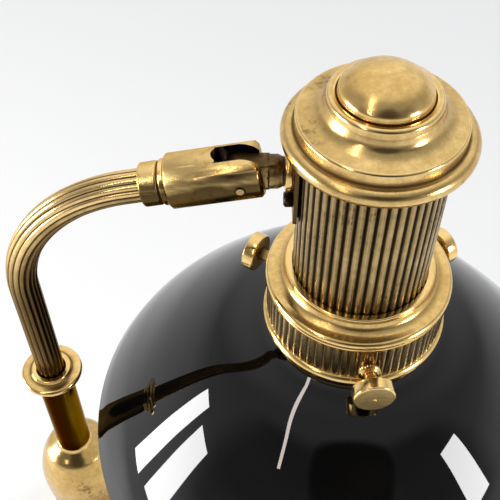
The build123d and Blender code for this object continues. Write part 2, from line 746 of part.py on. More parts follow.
# Swivel stud, its washer and the nut inside the cover
SHELL_IN_X = REACH - SHELL_BORE_R
STUD_NUT_R = 4.6
STUD_NUT_X = SHELL_IN_X + 0.55
with BuildPart() as swivel_stud:
    with BuildSketch(NECK):
        with BuildLine():
            Polyline(
                (STUD_END_X, 0),
                (STUD_END_X, STUD_R),
                (GRUB_X - GRUB_R - GROOVE_PLAY, STUD_R),
                (GRUB_X - GRUB_R - GROOVE_PLAY, STUD_GROOVE_R),
                (GRUB_X + GRUB_R + GROOVE_PLAY, STUD_GROOVE_R),
                (GRUB_X + GRUB_R + GROOVE_PLAY, STUD_R),
                (WASHER_X + SWIVEL_WASHER_T, STUD_R),
                (WASHER_X + SWIVEL_WASHER_T, STUD_FLANGE_R - 0.6),
                (WASHER_X + SWIVEL_WASHER_T + 0.6, STUD_FLANGE_R),
                (BRACKET_OUT_X, STUD_FLANGE_R),
                (BRACKET_OUT_X, STUD_R),
                (STUD_NUT_X + 2.6, STUD_R),
                (STUD_NUT_X + 2.6, 0),
                (STUD_END_X, 0),
            )
        make_face()
    revolve(axis=NECK_AXIS)
swivel_stud.part.label = "swivel_stud"
export_step(swivel_stud.part, "parts/swivel_stud.step")

with BuildPart() as swivel_washer:
    with BuildSketch(Plane.YZ.offset(WASHER_X)):
        with Locations((0, PIN_Z)):
            Circle(SWIVEL_WASHER_R)
            Circle(STUD_R + FIT, mode=Mode.SUBTRACT)
    extrude(amount=SWIVEL_WASHER_T)
swivel_washer.part.label = "swivel_washer"
export_step(swivel_washer.part, "parts/swivel_washer.step")

with BuildPart() as stud_nut:
    with BuildSketch(Plane.YZ.offset(STUD_NUT_X)):
        with Locations((0, PIN_Z)):
            RegularPolygon(STUD_NUT_R, 6)
            Circle(STUD_R + FIT, mode=Mode.SUBTRACT)
    extrude(amount=2.4)
stud_nut.part.label = "stud_nut"
export_step(stud_nut.part, "parts/stud_nut.step")

# Flat bracket plate
BRACKET_SCREW_Z = FITTER_Z + BRACKET_SCREW_LOW
with BuildPart() as bracket_plate:
    with BuildSketch(Plane.YZ.offset(BRACKET_OUT_X)):
        with Locations((0, FITTER_Z + 0.5 * (BRACKET_LOW + BRACKET_HIGH))):
            RectangleRounded(PLATE_W, BRACKET_HIGH - BRACKET_LOW, 2.0)
        with Locations((0, PIN_Z)):
            Circle(STUD_R + FIT, mode=Mode.SUBTRACT)
        with Locations((0, BRACKET_SCREW_Z)):
            Circle(BRACKET_SCREW_R + FIT, mode=Mode.SUBTRACT)
    extrude(amount=BRACKET_T)
bracket_plate.part.label = "bracket_plate"
export_step(bracket_plate.part, "parts/bracket_plate.step")

# Bracket screw and its nut
with BuildPart() as bracket_screw:
    with BuildSketch(Plane.YZ.offset(BRACKET_OUT_X - SCREW_HEAD_T)):
        with Locations((0, BRACKET_SCREW_Z)):
            Circle(SCREW_HEAD_R)
    extrude(amount=SCREW_HEAD_T)
    fillet(bracket_screw.edges().group_by(Axis.X)[0], 0.9)
    with BuildSketch(Plane.YZ.offset(BRACKET_OUT_X - SCREW_HEAD_T)):
        with Locations((0, BRACKET_SCREW_Z)):
            Rectangle(2 * SCREW_HEAD_R, 0.8)
    extrude(amount=1.0, mode=Mode.SUBTRACT)
    with BuildSketch(Plane.YZ.offset(BRACKET_OUT_X)):
        with Locations((0, BRACKET_SCREW_Z)):
            Circle(BRACKET_SCREW_R)
    extrude(amount=SHELL_IN_X + 2.6 - BRACKET_OUT_X)
bracket_screw.part.label = "bracket_screw"
export_step(bracket_screw.part, "parts/bracket_screw.step")

with BuildPart() as bracket_nut:
    with BuildSketch(Plane.YZ.offset(SHELL_IN_X + 0.3)):
        with Locations((0, BRACKET_SCREW_Z)):
            RegularPolygon(3.2, 6)
            Circle(BRACKET_SCREW_R + FIT, mode=Mode.SUBTRACT)
    extrude(amount=2.0)
bracket_nut.part.label = "bracket_nut"
export_step(bracket_nut.part, "parts/bracket_nut.step")

# Reeded cover of the lampholder
with BuildPart() as holder_shell:
    with BuildSketch(Plane((REACH, 0, FITTER_Z + SHELL_LOW))):
        with BuildLine():
            for i in range(SHELL_REEDS):
                mid = 360.0 * i / SHELL_REEDS
                half = 180.0 / SHELL_REEDS
                ThreePointArc(
                    polar(SHELL_VALLEY_R, mid - half),
                    polar(SHELL_R, mid),
                    polar(SHELL_VALLEY_R, mid + half),
                )
        make_face()
        Circle(SHELL_BORE_R, mode=Mode.SUBTRACT)
    extrude(amount=SHELL_HIGH - SHELL_LOW)
    with BuildSketch(Plane.YZ.offset(REACH - SHELL_R - 1)):
        with Locations((0, PIN_Z)):
            Circle(STUD_R + FIT)
        with Locations((0, BRACKET_SCREW_Z)):
            Circle(BRACKET_SCREW_R + FIT)
    extrude(amount=SHELL_R - 10, mode=Mode.SUBTRACT)
holder_shell.part.label = "holder_shell"
export_step(holder_shell.part, "parts/holder_shell.step")

# Stepped cap over the cover
BEAD_R = 2.7
BEAD_MID_R = CAP_BEAD_R - BEAD_R
CAP_TOP = CAP_STEP - 0.6
with BuildPart() as cap:
    with BuildSketch(HEAD):
        with BuildLine():
            Polyline(
                (NIPPLE_R + FIT, CAP_TOP - CAP_WALL),
                (NIPPLE_R + FIT, CAP_TOP),
                (FINIAL_R + 0.5, CAP_TOP),
                (FINIAL_R + 0.5, CAP_STEP + 0.2),
                (CAP_STEP_R - 0.9, CAP_STEP + 0.4),
                (CAP_STEP_R - 0.2, CAP_STEP + 0.1),
                (CAP_STEP_R, CAP_STEP - 0.5),
                (CAP_STEP_R + 0.1, CAP_STEP - 2.0),
            )
            ThreePointArc(
                (CAP_STEP_R + 0.1, CAP_STEP - 2.0),
                (0.60 * CAP_STEP_R + 0.40 * CAP_EDGE_R, 0.62 * CAP_EDGE + 0.38 * CAP_STEP - 0.9),
                (CAP_EDGE_R - 0.9, CAP_EDGE + 0.6),
            )
            Polyline(
                (CAP_EDGE_R - 0.9, CAP_EDGE + 0.6),
                (CAP_EDGE_R - 0.2, CAP_EDGE + 0.3),
                (CAP_EDGE_R, CAP_EDGE - 0.3),
                (CAP_EDGE_R, CAP_EDGE - 1.9),
                (BEAD_MID_R - 0.9, CAP_BEAD + BEAD_R - 0.1),
                (BEAD_MID_R, CAP_BEAD + BEAD_R),
            )
            ThreePointArc(
                (BEAD_MID_R, CAP_BEAD + BEAD_R),
                (CAP_BEAD_R, CAP_BEAD),
                (BEAD_MID_R, CAP_BEAD - BEAD_R),
            )
            Polyline(
                (BEAD_MID_R, CAP_BEAD - BEAD_R),
                (SHELL_R + 0.2, CAP_BEAD - BEAD_R),
                (SHELL_R + 0.2, SHELL_HIGH),
                (SHELL_BORE_R, SHELL_HIGH),
                (CAP_STEP_R - CAP_WALL, CAP_EDGE),
                (CAP_STEP_R - CAP_WALL, CAP_TOP - CAP_WALL),
                (NIPPLE_R + FIT, CAP_TOP - CAP_WALL),
            )
        make_face()
    revolve(axis=HEAD_AXIS)
cap.part.label = "cap"
export_step(cap.part, "parts/cap.step")

# Domed finial nut
FINIAL_EDGE = CAP_TOP + 1.5
with BuildPart() as cap_finial:
    with BuildSketch(HEAD):
        with BuildLine():
            Polyline(
                (0, FINIAL_TOP),
                (0, CAP_TOP),
                (FINIAL_R - 0.3, CAP_TOP),
                (FINIAL_R, CAP_TOP + 0.3),
                (FINIAL_R, FINIAL_EDGE),
            )
            Spline(
                (FINIAL_R, FINIAL_EDGE),
                (0.72 * FINIAL_R, FINIAL_EDGE + 0.68 * (FINIAL_TOP - FINIAL_EDGE)),
                (0, FINIAL_TOP),
                tangents=((-0.15, 1), (-1, 0)),
            )
        make_face()
    revolve(axis=HEAD_AXIS)
    with BuildSketch(Plane((REACH, 0, FITTER_Z + CAP_TOP))):
        Circle(NIPPLE_R + FIT)
    extrude(amount=6.0, mode=Mode.SUBTRACT)
cap_finial.part.label = "cap_finial"
export_step(cap_finial.part, "parts/cap_finial.step")

# Turned ring of the gallery
with BuildPart() as gallery_ring:
    with BuildSketch(HEAD):
        with BuildLine():
            Polyline(
                (RING_BORE_R, -0.8),
                (RING_BORE_R, SHELL_LOW),
                (SHELL_R + 0.2, SHELL_LOW),
                (SHELL_R + 0.2, LEDGE),
                (LEDGE_R - 0.5, LEDGE),
                (LEDGE_R, LEDGE - 0.5),
                (LEDGE_R + 0.1, LEDGE - 1.6),
            )
            ThreePointArc(
                (LEDGE_R + 0.1, LEDGE - 1.6),
                (LEDGE_R + 1.4, 2.4),
                (RING_R - 1.8, 1.5),
            )
            ThreePointArc((RING_R - 1.8, 1.5), (RING_R, 0.0), (RING_R - 1.2, -1.3))
            ThreePointArc((RING_R - 1.2, -1.3), (RING_R - 0.5, -2.25), (RING_R - 1.2, SKIRT_TOP))
            Polyline(
                (RING_R - 1.2, SKIRT_TOP),
                (SKIRT_BORE_R, SKIRT_TOP),
                (SKIRT_BORE_R, -0.8),
                (RING_BORE_R, -0.8),
            )
        make_face()
    revolve(axis=HEAD_AXIS)
gallery_ring.part.label = "gallery_ring"
export_step(gallery_ring.part, "parts/gallery_ring.step")

# Fluted skirt of the gallery
with BuildPart() as gallery_skirt:
    with BuildSketch(Plane((REACH, 0, FITTER_Z + SKIRT_LOW))):
        with BuildLine():
            for i in range(SKIRT_FLUTES):
                mid = 360.0 * i / SKIRT_FLUTES
                half = 180.0 / SKIRT_FLUTES
                ThreePointArc(
                    polar(SKIRT_VALLEY_R, mid - half),
                    polar(SKIRT_R, mid),
                    polar(SKIRT_VALLEY_R, mid + half),
                )
        make_face()
        Circle(SKIRT_BORE_R, mode=Mode.SUBTRACT)
    extrude(amount=SKIRT_TOP - SKIRT_LOW)
    for angle in SCREW_ANGLES:
        way = Vector(*polar(1.0, angle), 0)
        with BuildSketch(Plane(Vector(REACH, 0, FITTER_Z + SCREW_LEVEL) + way * 20, z_dir=way)):
            Circle(BOSS_R)
        extrude(amount=20, mode=Mode.SUBTRACT)
gallery_skirt.part.label = "gallery_skirt"
export_step(gallery_skirt.part, "parts/gallery_skirt.step")

# Rolled rim of the gallery
with BuildPart() as gallery_rim:
    with BuildSketch(HEAD):
        with BuildLine():
            Line((SKIRT_BORE_R, SKIRT_LOW), (SKIRT_R, SKIRT_LOW))
            ThreePointArc(
                (SKIRT_R, SKIRT_LOW),
                (RIM_R, 0.5 * (SKIRT_LOW + RIM_LOW)),
                (SKIRT_R - 0.4, RIM_LOW),
            )
            Polyline(
                (SKIRT_R - 0.4, RIM_LOW),
                (SKIRT_BORE_R, RIM_LOW + 0.4),
                (SKIRT_BORE_R, SKIRT_LOW),
            )
        make_face()
    revolve(axis=HEAD_AXIS)
gallery_rim.part.label = "gallery_rim"
export_step(gallery_rim.part, "parts/gallery_rim.step")

# Threaded bosses in the skirt
with BuildPart() as screw_bosses:
    for angle in SCREW_ANGLES:
        way = Vector(*polar(1.0, angle), 0)
        middle = Vector(REACH, 0, FITTER_Z + SCREW_LEVEL)
        with BuildSketch(Plane(middle + way * (SKIRT_BORE_R - 0.1), z_dir=way)):
            Circle(BOSS_R)
        extrude(amount=BOSS_OUT - SKIRT_BORE_R + 0.1)
        with BuildSketch(Plane(middle + way * (SKIRT_R + 0.1), z_dir=way)):
            Circle(BOSS_FLANGE_R)
        extrude(amount=BOSS_OUT - 0.6 - SKIRT_R - 0.1)
        with BuildSketch(Plane(middle + way * (SKIRT_BORE_R - 2), z_dir=way)):
            Circle(SHANK_R + SLIDE)
        extrude(amount=BOSS_OUT - SKIRT_BORE_R + 6, mode=Mode.SUBTRACT)
screw_bosses.part.label = "screw_bosses"
export_step(screw_bosses.part, "parts/screw_bosses.step")

# Three plain thumbscrews
for number, angle in enumerate(SCREW_ANGLES, start=1):
    way = Vector(*polar(1.0, angle), 0)
    middle = Vector(REACH, 0, FITTER_Z + SCREW_LEVEL)
    with BuildPart() as thumb_screw:
        with BuildSketch(Plane(middle + way * THUMB_IN, z_dir=way)):
            Circle(THUMB_R)
        extrude(amount=THUMB_T)
        fillet(thumb_screw.edges().filter_by(GeomType.CIRCLE), 0.5)
        with BuildSketch(Plane(middle + way * (THUMB_IN + THUMB_T - 0.5), z_dir=way)):
            Circle(0.15)
        with BuildSketch(Plane(middle + way * (THUMB_IN + THUMB_T), z_dir=way)):
            Circle(0.6)
        loft(mode=Mode.SUBTRACT)
        with BuildSketch(Plane(middle + way * (GLASS_NECK_R + FREE), z_dir=way)):
            Circle(SHANK_R)
        extrude(amount=THUMB_IN - GLASS_NECK_R - FREE)
    thumb_screw.part.label = f"thumb_screw_{number}"
    export_step(thumb_screw.part, f"parts/thumb_screw_{number}.step")

# Black glass dome shade
DOME_SHAPE = ((0.0, 0.0), (0.254, 0.124), (0.522, 0.364), (0.776, 0.662), (0.925, 0.868), (1.0, 1.0))
dome = [
    (DOME_TOP_R + a * (SHADE_R - DOME_TOP_R), DOME_TOP + b * (SHADE_RIM - DOME_TOP))
    for a, b in DOME_SHAPE
]
inner = inset(dome, GLASS_T)
with BuildPart() as shade:
    with BuildSketch(HEAD):
        with BuildLine():
            Spline(*dome)
            ThreePointArc(
                dome[-1],
                (0.5 * (dome[-1][0] + inner[-1][0]), 0.5 * (dome[-1][1] + inner[-1][1]) - 1.3),
                inner[-1],
            )
            Spline(*inner)
            Polyline(
                inner[0],
                (GLASS_NECK_R - GLASS_T, DOME_TOP + 0.2),
                (GLASS_NECK_R - GLASS_T, SKIRT_TOP - 0.8),
                (LIP_R - 0.8, SKIRT_TOP - 0.8),
                (LIP_R, SKIRT_TOP - 1.6),
                (LIP_R, SKIRT_TOP - 4.2),
                (GLASS_NECK_R, SKIRT_TOP - 6.0),
                (GLASS_NECK_R, RIM_LOW + 0.6),
            )
            Spline(
                (GLASS_NECK_R, RIM_LOW + 0.6),
                (GLASS_NECK_R + 1.6, RIM_LOW - 1.4),
                dome[0],
            )
        make_face()
    revolve(axis=HEAD_AXIS)
shade.part.label = "shade"
export_step(shade.part, "parts/shade.step")

# Nipple that hangs the lampholder from the cap
with BuildPart() as holder_nipple:
    with BuildSketch(Plane((REACH, 0, FITTER_Z + HOLDER_HIGH - 6))):
        Circle(NIPPLE_R)
        Circle(NIPPLE_BORE_R, mode=Mode.SUBTRACT)
    extrude(amount=CAP_TOP + 5.5 - HOLDER_HIGH + 6)
holder_nipple.part.label = "holder_nipple"
export_step(holder_nipple.part, "parts/holder_nipple.step")

with BuildPart() as nipple_nut:
    with BuildSketch(Plane((REACH, 0, FITTER_Z + HOLDER_HIGH))):
        RegularPolygon(7.5, 6)
        Circle(NIPPLE_R + FIT, mode=Mode.SUBTRACT)
    extrude(amount=3.5)
nipple_nut.part.label = "nipple_nut"
export_step(nipple_nut.part, "parts/nipple_nut.step")

# Porcelain lampholder
with BuildPart() as holder_core:
    with BuildSketch(HEAD):
        with BuildLine():
            Polyline(
                (SOCKET_R + FIT, HOLDER_LOW),
                (HOLDER_R, HOLDER_LOW),
                (HOLDER_R, HOLDER_HIGH - 3),
                (HOLDER_R - 3, HOLDER_HIGH),
                (NIPPLE_R + FIT, HOLDER_HIGH),
                (NIPPLE_R + FIT, HOLDER_HIGH - 6),
                (SOCKET_R + FIT, HOLDER_HIGH - 6),
                (SOCKET_R + FIT, HOLDER_LOW),
            )
        make_face()
    revolve(axis=HEAD_AXIS)
holder_core.part.label = "holder_core"
export_step(holder_core.part, "parts/holder_core.step")

# Screw shell and centre contact
with BuildPart() as holder_socket:
    with BuildSketch(Plane((REACH, 0, FITTER_Z + HOLDER_LOW + 1))):
        Circle(SOCKET_R)
        Circle(SOCKET_R - SOCKET_T, mode=Mode.SUBTRACT)
    extrude(amount=HOLDER_HIGH - 6 - HOLDER_LOW - 1)
holder_socket.part.label = "holder_socket"
export_step(holder_socket.part, "parts/holder_socket.step")

CONTACT_LOW = HOLDER_HIGH - 9.0
with BuildPart() as holder_contact:
    with BuildSketch(Plane((REACH, 0, FITTER_Z + CONTACT_LOW))):
        Circle(CONTACT_R)
    extrude(amount=1.6)
    with BuildSketch(Plane((REACH, 0, FITTER_Z + CONTACT_LOW + 1.6))):
        Rectangle(2 * (SOCKET_R - SOCKET_T) - 2, 4)
    extrude(amount=HOLDER_HIGH - 6 - CONTACT_LOW - 1.6)
holder_contact.part.label = "holder_contact"
export_step(holder_contact.part, "parts/holder_contact.step")

# Bulb
CAP_R = SOCKET_R - SOCKET_T - FIT
with BuildPart() as bulb_cap:
    with BuildSketch(HEAD):
        with BuildLine():
            Polyline(
                (0, HOLDER_LOW - 4),
                (CAP_R, HOLDER_LOW - 4),
                (CAP_R, CONTACT_LOW - 5),
                (CONTACT_R + 2, CONTACT_LOW - 1.5),
                (CONTACT_R, CONTACT_LOW),
                (0, CONTACT_LOW),
                (0, HOLDER_LOW - 4),
            )
        make_face()
    revolve(axis=HEAD_AXIS)
bulb_cap.part.label = "bulb_cap"
export_step(bulb_cap.part, "parts/bulb_cap.step")

with BuildPart() as bulb_glass:
    with BuildSketch(HEAD):
        with BuildLine():
            Line((0, HOLDER_LOW - 4), (CAP_R - 0.4, HOLDER_LOW - 4))
            Spline(
                (CAP_R - 0.4, HOLDER_LOW - 4),
                (0.66 * BULB_R, BULB_CENTRE + 1.35 * BULB_R),
                (BULB_R, BULB_CENTRE),
                tangents=((0, -1), (0, -1)),
            )
            ThreePointArc(
                (BULB_R, BULB_CENTRE),
                (BULB_R * cos(radians(45)), BULB_CENTRE - BULB_R * sin(radians(45))),
                (0, BULB_CENTRE - BULB_R),
            )
            Line((0, BULB_CENTRE - BULB_R), (0, BULB_CENTRE - BULB_R + BULB_T))
            ThreePointArc(
                (0, BULB_CENTRE - BULB_R + BULB_T),
                (
                    (BULB_R - BULB_T) * cos(radians(45)),
                    BULB_CENTRE - (BULB_R - BULB_T) * sin(radians(45)),
                ),
                (BULB_R - BULB_T, BULB_CENTRE),
            )
            Spline(
                (BULB_R - BULB_T, BULB_CENTRE),
                (0.66 * BULB_R - BULB_T, BULB_CENTRE + 1.35 * BULB_R),
                (CAP_R - 0.4 - BULB_T, HOLDER_LOW - 4 - BULB_T),
                tangents=((0, 1), (0, 1)),
            )
            Line((CAP_R - 0.4 - BULB_T, HOLDER_LOW - 4 - BULB_T), (0, HOLDER_LOW - 4 - BULB_T))
            Line((0, HOLDER_LOW - 4 - BULB_T), (0, HOLDER_LOW - 4))
        make_face()
    revolve(axis=HEAD_AXIS)
bulb_glass.part.label = "bulb_glass"
export_step(bulb_glass.part, "parts/bulb_glass.step")
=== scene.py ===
"""Aged brass table lamp with a black glass dome shade: surfaces, finishes, light and camera.

Profiles and places are in millimetres until a mesh is made. Lamps, camera and floor are in metres.
A profile is a closed run of points (radius, height).
"""
import json
from math import cos, pi, radians, sin, tan

import bmesh
import bpy
import numpy as np
from mathutils import Matrix, Vector

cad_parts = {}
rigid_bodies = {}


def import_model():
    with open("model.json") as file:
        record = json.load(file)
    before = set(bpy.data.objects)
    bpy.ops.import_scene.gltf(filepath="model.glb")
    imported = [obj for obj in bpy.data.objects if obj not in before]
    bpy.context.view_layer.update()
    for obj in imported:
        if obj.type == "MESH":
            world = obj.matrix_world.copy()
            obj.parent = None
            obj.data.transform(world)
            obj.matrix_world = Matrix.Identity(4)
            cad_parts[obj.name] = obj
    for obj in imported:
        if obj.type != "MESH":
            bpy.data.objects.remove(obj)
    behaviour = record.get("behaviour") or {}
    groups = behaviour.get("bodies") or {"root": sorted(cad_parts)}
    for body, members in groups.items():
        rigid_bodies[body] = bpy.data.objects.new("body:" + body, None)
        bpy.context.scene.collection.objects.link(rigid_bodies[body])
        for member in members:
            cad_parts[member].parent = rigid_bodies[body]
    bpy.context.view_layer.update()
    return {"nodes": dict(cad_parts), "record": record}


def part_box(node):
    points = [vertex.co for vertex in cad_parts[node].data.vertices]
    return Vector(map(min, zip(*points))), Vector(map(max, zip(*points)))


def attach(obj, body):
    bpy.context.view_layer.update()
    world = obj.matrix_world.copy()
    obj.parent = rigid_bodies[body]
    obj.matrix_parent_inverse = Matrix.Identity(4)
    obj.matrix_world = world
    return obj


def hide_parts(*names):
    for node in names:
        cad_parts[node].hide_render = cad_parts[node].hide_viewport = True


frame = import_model()

MM = 0.001
ORIGIN = (0.0, 0.0, 0.0)
UP = (0, 0, 1)
TO_HEAD = (1, 0, 0)
BODY_OF = {node: body for body, nodes in frame["record"]["behaviour"]["bodies"].items() for node in nodes}
SLOT_OF = {part["node"]: part["material_slot"] for part in frame["record"]["subparts"]}

# Main places: the head's axis and seat, the cross pin (X, Z) and the slope of the knuckle
REACH = 115.0
FITTER = 360.0
HEAD = (REACH, 0.0, FITTER)
PIN = (75.3, FITTER + 47.4)
RISE = radians(10.9)

# Profile tools: steps of a corner, the longest share of a side it takes, and how far out its support lies
CORNER_STEPS = 5
CORNER_SHARE = 0.45
SUPPORT_SHARE = 0.05
TINY = 1e-9

# Relief: its value on flats, how far a turn spreads, and the turn (in radians) that counts as a full edge
RELIEF_FLAT = 0.5
RELIEF_WIDTH = 0.5
RELIEF_FULL_TURN = 1.2

# Reeds: how far their crests stand out as worn, and the power that shapes their dark valleys of tarnish and
# painted shade
REED_CREST = 0.30
REED_POWER = 0.8

# Mesh tools: least upright share of a standing axis, distances for joining points, and hole cutting
UPRIGHT = 0.9
ON_AXIS = 1e-6
POLE_DISTANCE = 1e-7
WELD_DISTANCE = 2e-6
HOLE_SIDES = 64
HOLE_SLACK = 0.05
POOL_RADII = 3
POOL_MARGIN = 12


def rounded(points, radius):
    """Closed profile with each corner replaced by a short parabola.

    A corner P with unit directions a (back) and b (ahead) becomes the curve
    (1-t)^2 (P + d a) + 2 t (1-t) P + t^2 (P + d b), with d the radius or a share of the shorter side.
    A support point lies just outside each end of a curve, which keeps the flats between them flat.
    That makes eight points per corner. A slice of the result drops points of the first and last corner.
    """
    corner = np.asarray(points, float)
    back = np.roll(corner, 1, 0) - corner
    ahead = np.roll(corner, -1, 0) - corner
    back_length = np.linalg.norm(back, axis=1)
    ahead_length = np.linalg.norm(ahead, axis=1)
    d = np.minimum(radius, CORNER_SHARE * np.minimum(back_length, ahead_length))
    a = back / back_length[:, None]
    b = ahead / ahead_length[:, None]
    t = np.linspace(0, 1, CORNER_STEPS + 1)[None, :, None]
    start = (corner + a * d[:, None])[:, None]
    end = (corner + b * d[:, None])[:, None]
    curve = (1 - t) ** 2 * start + 2 * t * (1 - t) * corner[:, None] + t**2 * end
    support = (SUPPORT_SHARE * d)[:, None, None]
    ring = [start + a[:, None] * support, curve, end + b[:, None] * support]
    return np.concatenate(ring, 1).reshape(-1, 2)


def arc(centre, radius, start, end, count):
    """Points centre + radius (cos, sin) from a start to an end angle in degrees."""
    a = np.radians(np.linspace(start, end, count))
    return np.stack([centre[0] + radius * np.cos(a), centre[1] + radius * np.sin(a)], 1)


def bead(centre, radius, squeeze, shift, count):
    """Flattened bead: a half circle squeezed towards the axis and moved out again."""
    return arc(centre, radius, -85, 85, count) * (squeeze, 1) + (shift, 0)


def spline(points, count):
    """Smooth curve through points: Catmull-Rom blend of each run with its neighbours' chords."""
    p = np.asarray(points, float)
    padded = np.vstack([2 * p[0] - p[1], p, 2 * p[-1] - p[-2]])
    u = np.linspace(0, len(p) - 1 - TINY, count)
    i = u.astype(int)
    t = (u - i)[:, None]
    p0, p1, p2, p3 = (padded[i + k] for k in range(4))
    bend = 2 * p1 + (p2 - p0) * t + (2 * p0 - 5 * p1 + 4 * p2 - p3) * t**2
    return 0.5 * (bend + (3 * p1 - p0 - 3 * p2 + p3) * t**3)


def sleeve(outer, inner, low, high, outer_count, inner_count):
    """Profile of a plain sleeve: points up its outside and down its inside."""
    outside = np.stack([np.full(outer_count, outer), np.linspace(low, high, outer_count)], 1)
    inside = np.stack([np.full(inner_count, inner), np.linspace(high, low, inner_count)], 1)
    return np.vstack([outside, inside])


def reed_fall(angle, number):
    """How far a point lies down the side of its reed: 0 on the crest and 1 in the valley, as a parabola."""
    return (2 * ((angle * number / (2 * pi) + 0.5) % 1.0) - 1) ** 2


def relief_of(profile):
    """Edge and hollow value of a closed profile, 0.5 on flats, 1 on edges and 0 in hollows, and its lengths.

    It is the signed turn at each point, spread along the length by a bell curve.
    """
    step = np.roll(profile, -1, 0) - profile
    length = np.linalg.norm(step, axis=1) + TINY
    before = np.roll(step, 1, 0)
    turn = np.arctan2(before[:, 0] * step[:, 1] - before[:, 1] * step[:, 0], (before * step).sum(1))
    where = np.concatenate([[0], np.cumsum(length)])[:-1]
    gap = np.abs(where[:, None] - where[None])
    gap = np.minimum(gap, length.sum() - gap)
    spread = (np.exp(-((gap / RELIEF_WIDTH) ** 2)) * turn[None]).sum(1)
    return RELIEF_FLAT + 0.5 * np.clip(spread / RELIEF_FULL_TURN, -1, 1), where


def add_object(name, data):
    """New object in the scene, at the origin."""
    item = bpy.data.objects.new(name, data)
    bpy.context.scene.collection.objects.link(item)
    return item


def points_of(mesh):
    """Points of a mesh in metres, one row each."""
    flat = np.empty(len(mesh.vertices) * 3, np.float32)
    mesh.vertices.foreach_get("co", flat)
    return flat.reshape(-1, 3)


def values_of(layer):
    """Values that a layer holds, one per point."""
    held = np.empty(len(layer.data), np.float32)
    layer.data.foreach_get("value", held)
    return held


def put_values(mesh, key, values):
    """Writes one value per point into a mesh's layer, which is made if it is new."""
    layer = mesh.attributes.get(key) or mesh.attributes.new(key, "FLOAT", "POINT")
    layer.data.foreach_set("value", np.ascontiguousarray(values, np.float32).ravel())


def join_points(source, mesh, distance, outward=False):
    """Writes a source mesh into a mesh with its doubled points joined and, if asked, its faces outward."""
    work = bmesh.new()
    work.from_mesh(source)
    bmesh.ops.remove_doubles(work, verts=work.verts, dist=distance)
    if outward:
        bmesh.ops.recalc_face_normals(work, faces=work.faces)
    work.to_mesh(mesh)
    work.free()


def surface(name, points, facts, wrap_v=True, merge=False):
    """Mesh of a grid of points, closed round its first way and, if asked, round its second."""
    nu, nv = points.shape[:2]
    u, v = np.meshgrid(np.arange(nu), np.arange(nv if wrap_v else nv - 1), indexing="ij")
    u2 = (u + 1) % nu
    v2 = (v + 1) % nv
    faces = np.stack([u * nv + v, u2 * nv + v, u2 * nv + v2, u * nv + v2], -1).reshape(-1, 4)
    mesh = bpy.data.meshes.new(name)
    mesh.from_pydata((points.reshape(-1, 3) * MM).tolist(), [], faces.tolist())
    for key, values in facts.items():
        put_values(mesh, key, np.broadcast_to(values, (nu, nv)))
    if merge:
        join_points(mesh, mesh, POLE_DISTANCE, outward=True)
    return mesh


def from_axis(points, spot, way, length):
    """Distance of each point from a hole's axis, and whether it lies along the hole's length."""
    arm = points / MM - np.asarray(spot)
    ahead = arm @ np.asarray(way, float)
    away = np.linalg.norm(arm - ahead[:, None] * np.asarray(way), axis=1)
    return away, np.abs(ahead) < 0.5 * length


def cylinder(spot, way, radius, length):
    """Cylinder object with its middle at a spot and its axis along a way."""
    turn = Vector(UP).rotation_difference(Vector(way)).to_matrix().to_4x4()
    shape = bpy.data.meshes.new("cutter")
    work = bmesh.new()
    bmesh.ops.create_cone(
        work, cap_ends=True, segments=HOLE_SIDES, radius1=radius * MM, radius2=radius * MM,
        depth=length * MM, matrix=Matrix.Translation(Vector(spot) * MM) @ turn,
    )
    work.to_mesh(shape)
    work.free()
    return add_object("cutter", shape)


def drill(mesh, holes):
    """Mesh with round holes through it: each hole (spot, way, radius, length) is a cylinder taken away.

    A point that the cut adds lies one radius from a hole's axis. It takes its values from the nearest
    point that was there before, among those within a few radii and a margin of the axis.
    """
    known = points_of(mesh)
    facts = {
        layer.name: values_of(layer)
        for layer in mesh.attributes
        if layer.domain == "POINT" and layer.data_type == "FLOAT"
    }
    blank = add_object("blank", mesh)
    cutters = [cylinder(*hole) for hole in holes]
    for cutter in cutters:
        cut = blank.modifiers.new("hole", "BOOLEAN")
        cut.operation, cut.solver, cut.object = "DIFFERENCE", "EXACT", cutter
    graph = bpy.context.evaluated_depsgraph_get()
    drilled = bpy.data.meshes.new_from_object(blank.evaluated_get(graph))
    for temporary in (blank, *cutters):
        bpy.data.objects.remove(temporary)
    now = points_of(drilled)
    for spot, way, radius, length in holes:
        away, level = from_axis(now, spot, way, length)
        added = np.flatnonzero((np.abs(away - radius) < HOLE_SLACK) & level)
        away, level = from_axis(known, spot, way, length)
        pool = np.flatnonzero((away < POOL_RADII * radius + POOL_MARGIN) & level)
        nearest = pool[((now[added][:, None] - known[pool][None]) ** 2).sum(2).argmin(1)]
        for key, values in facts.items():
            held = values_of(drilled.attributes[key])
            held[added] = values[nearest]
            put_values(drilled, key, held)
    return drilled


def place(mesh, node, sharp=55):
    """Puts a mesh into the scene as the piece that stands for a node."""
    mesh.shade_smooth()
    mesh.set_sharp_from_angle(angle=radians(sharp))
    piece = add_object(f"{node}_look", mesh)
    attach(piece, BODY_OF[node])
    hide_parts(node)


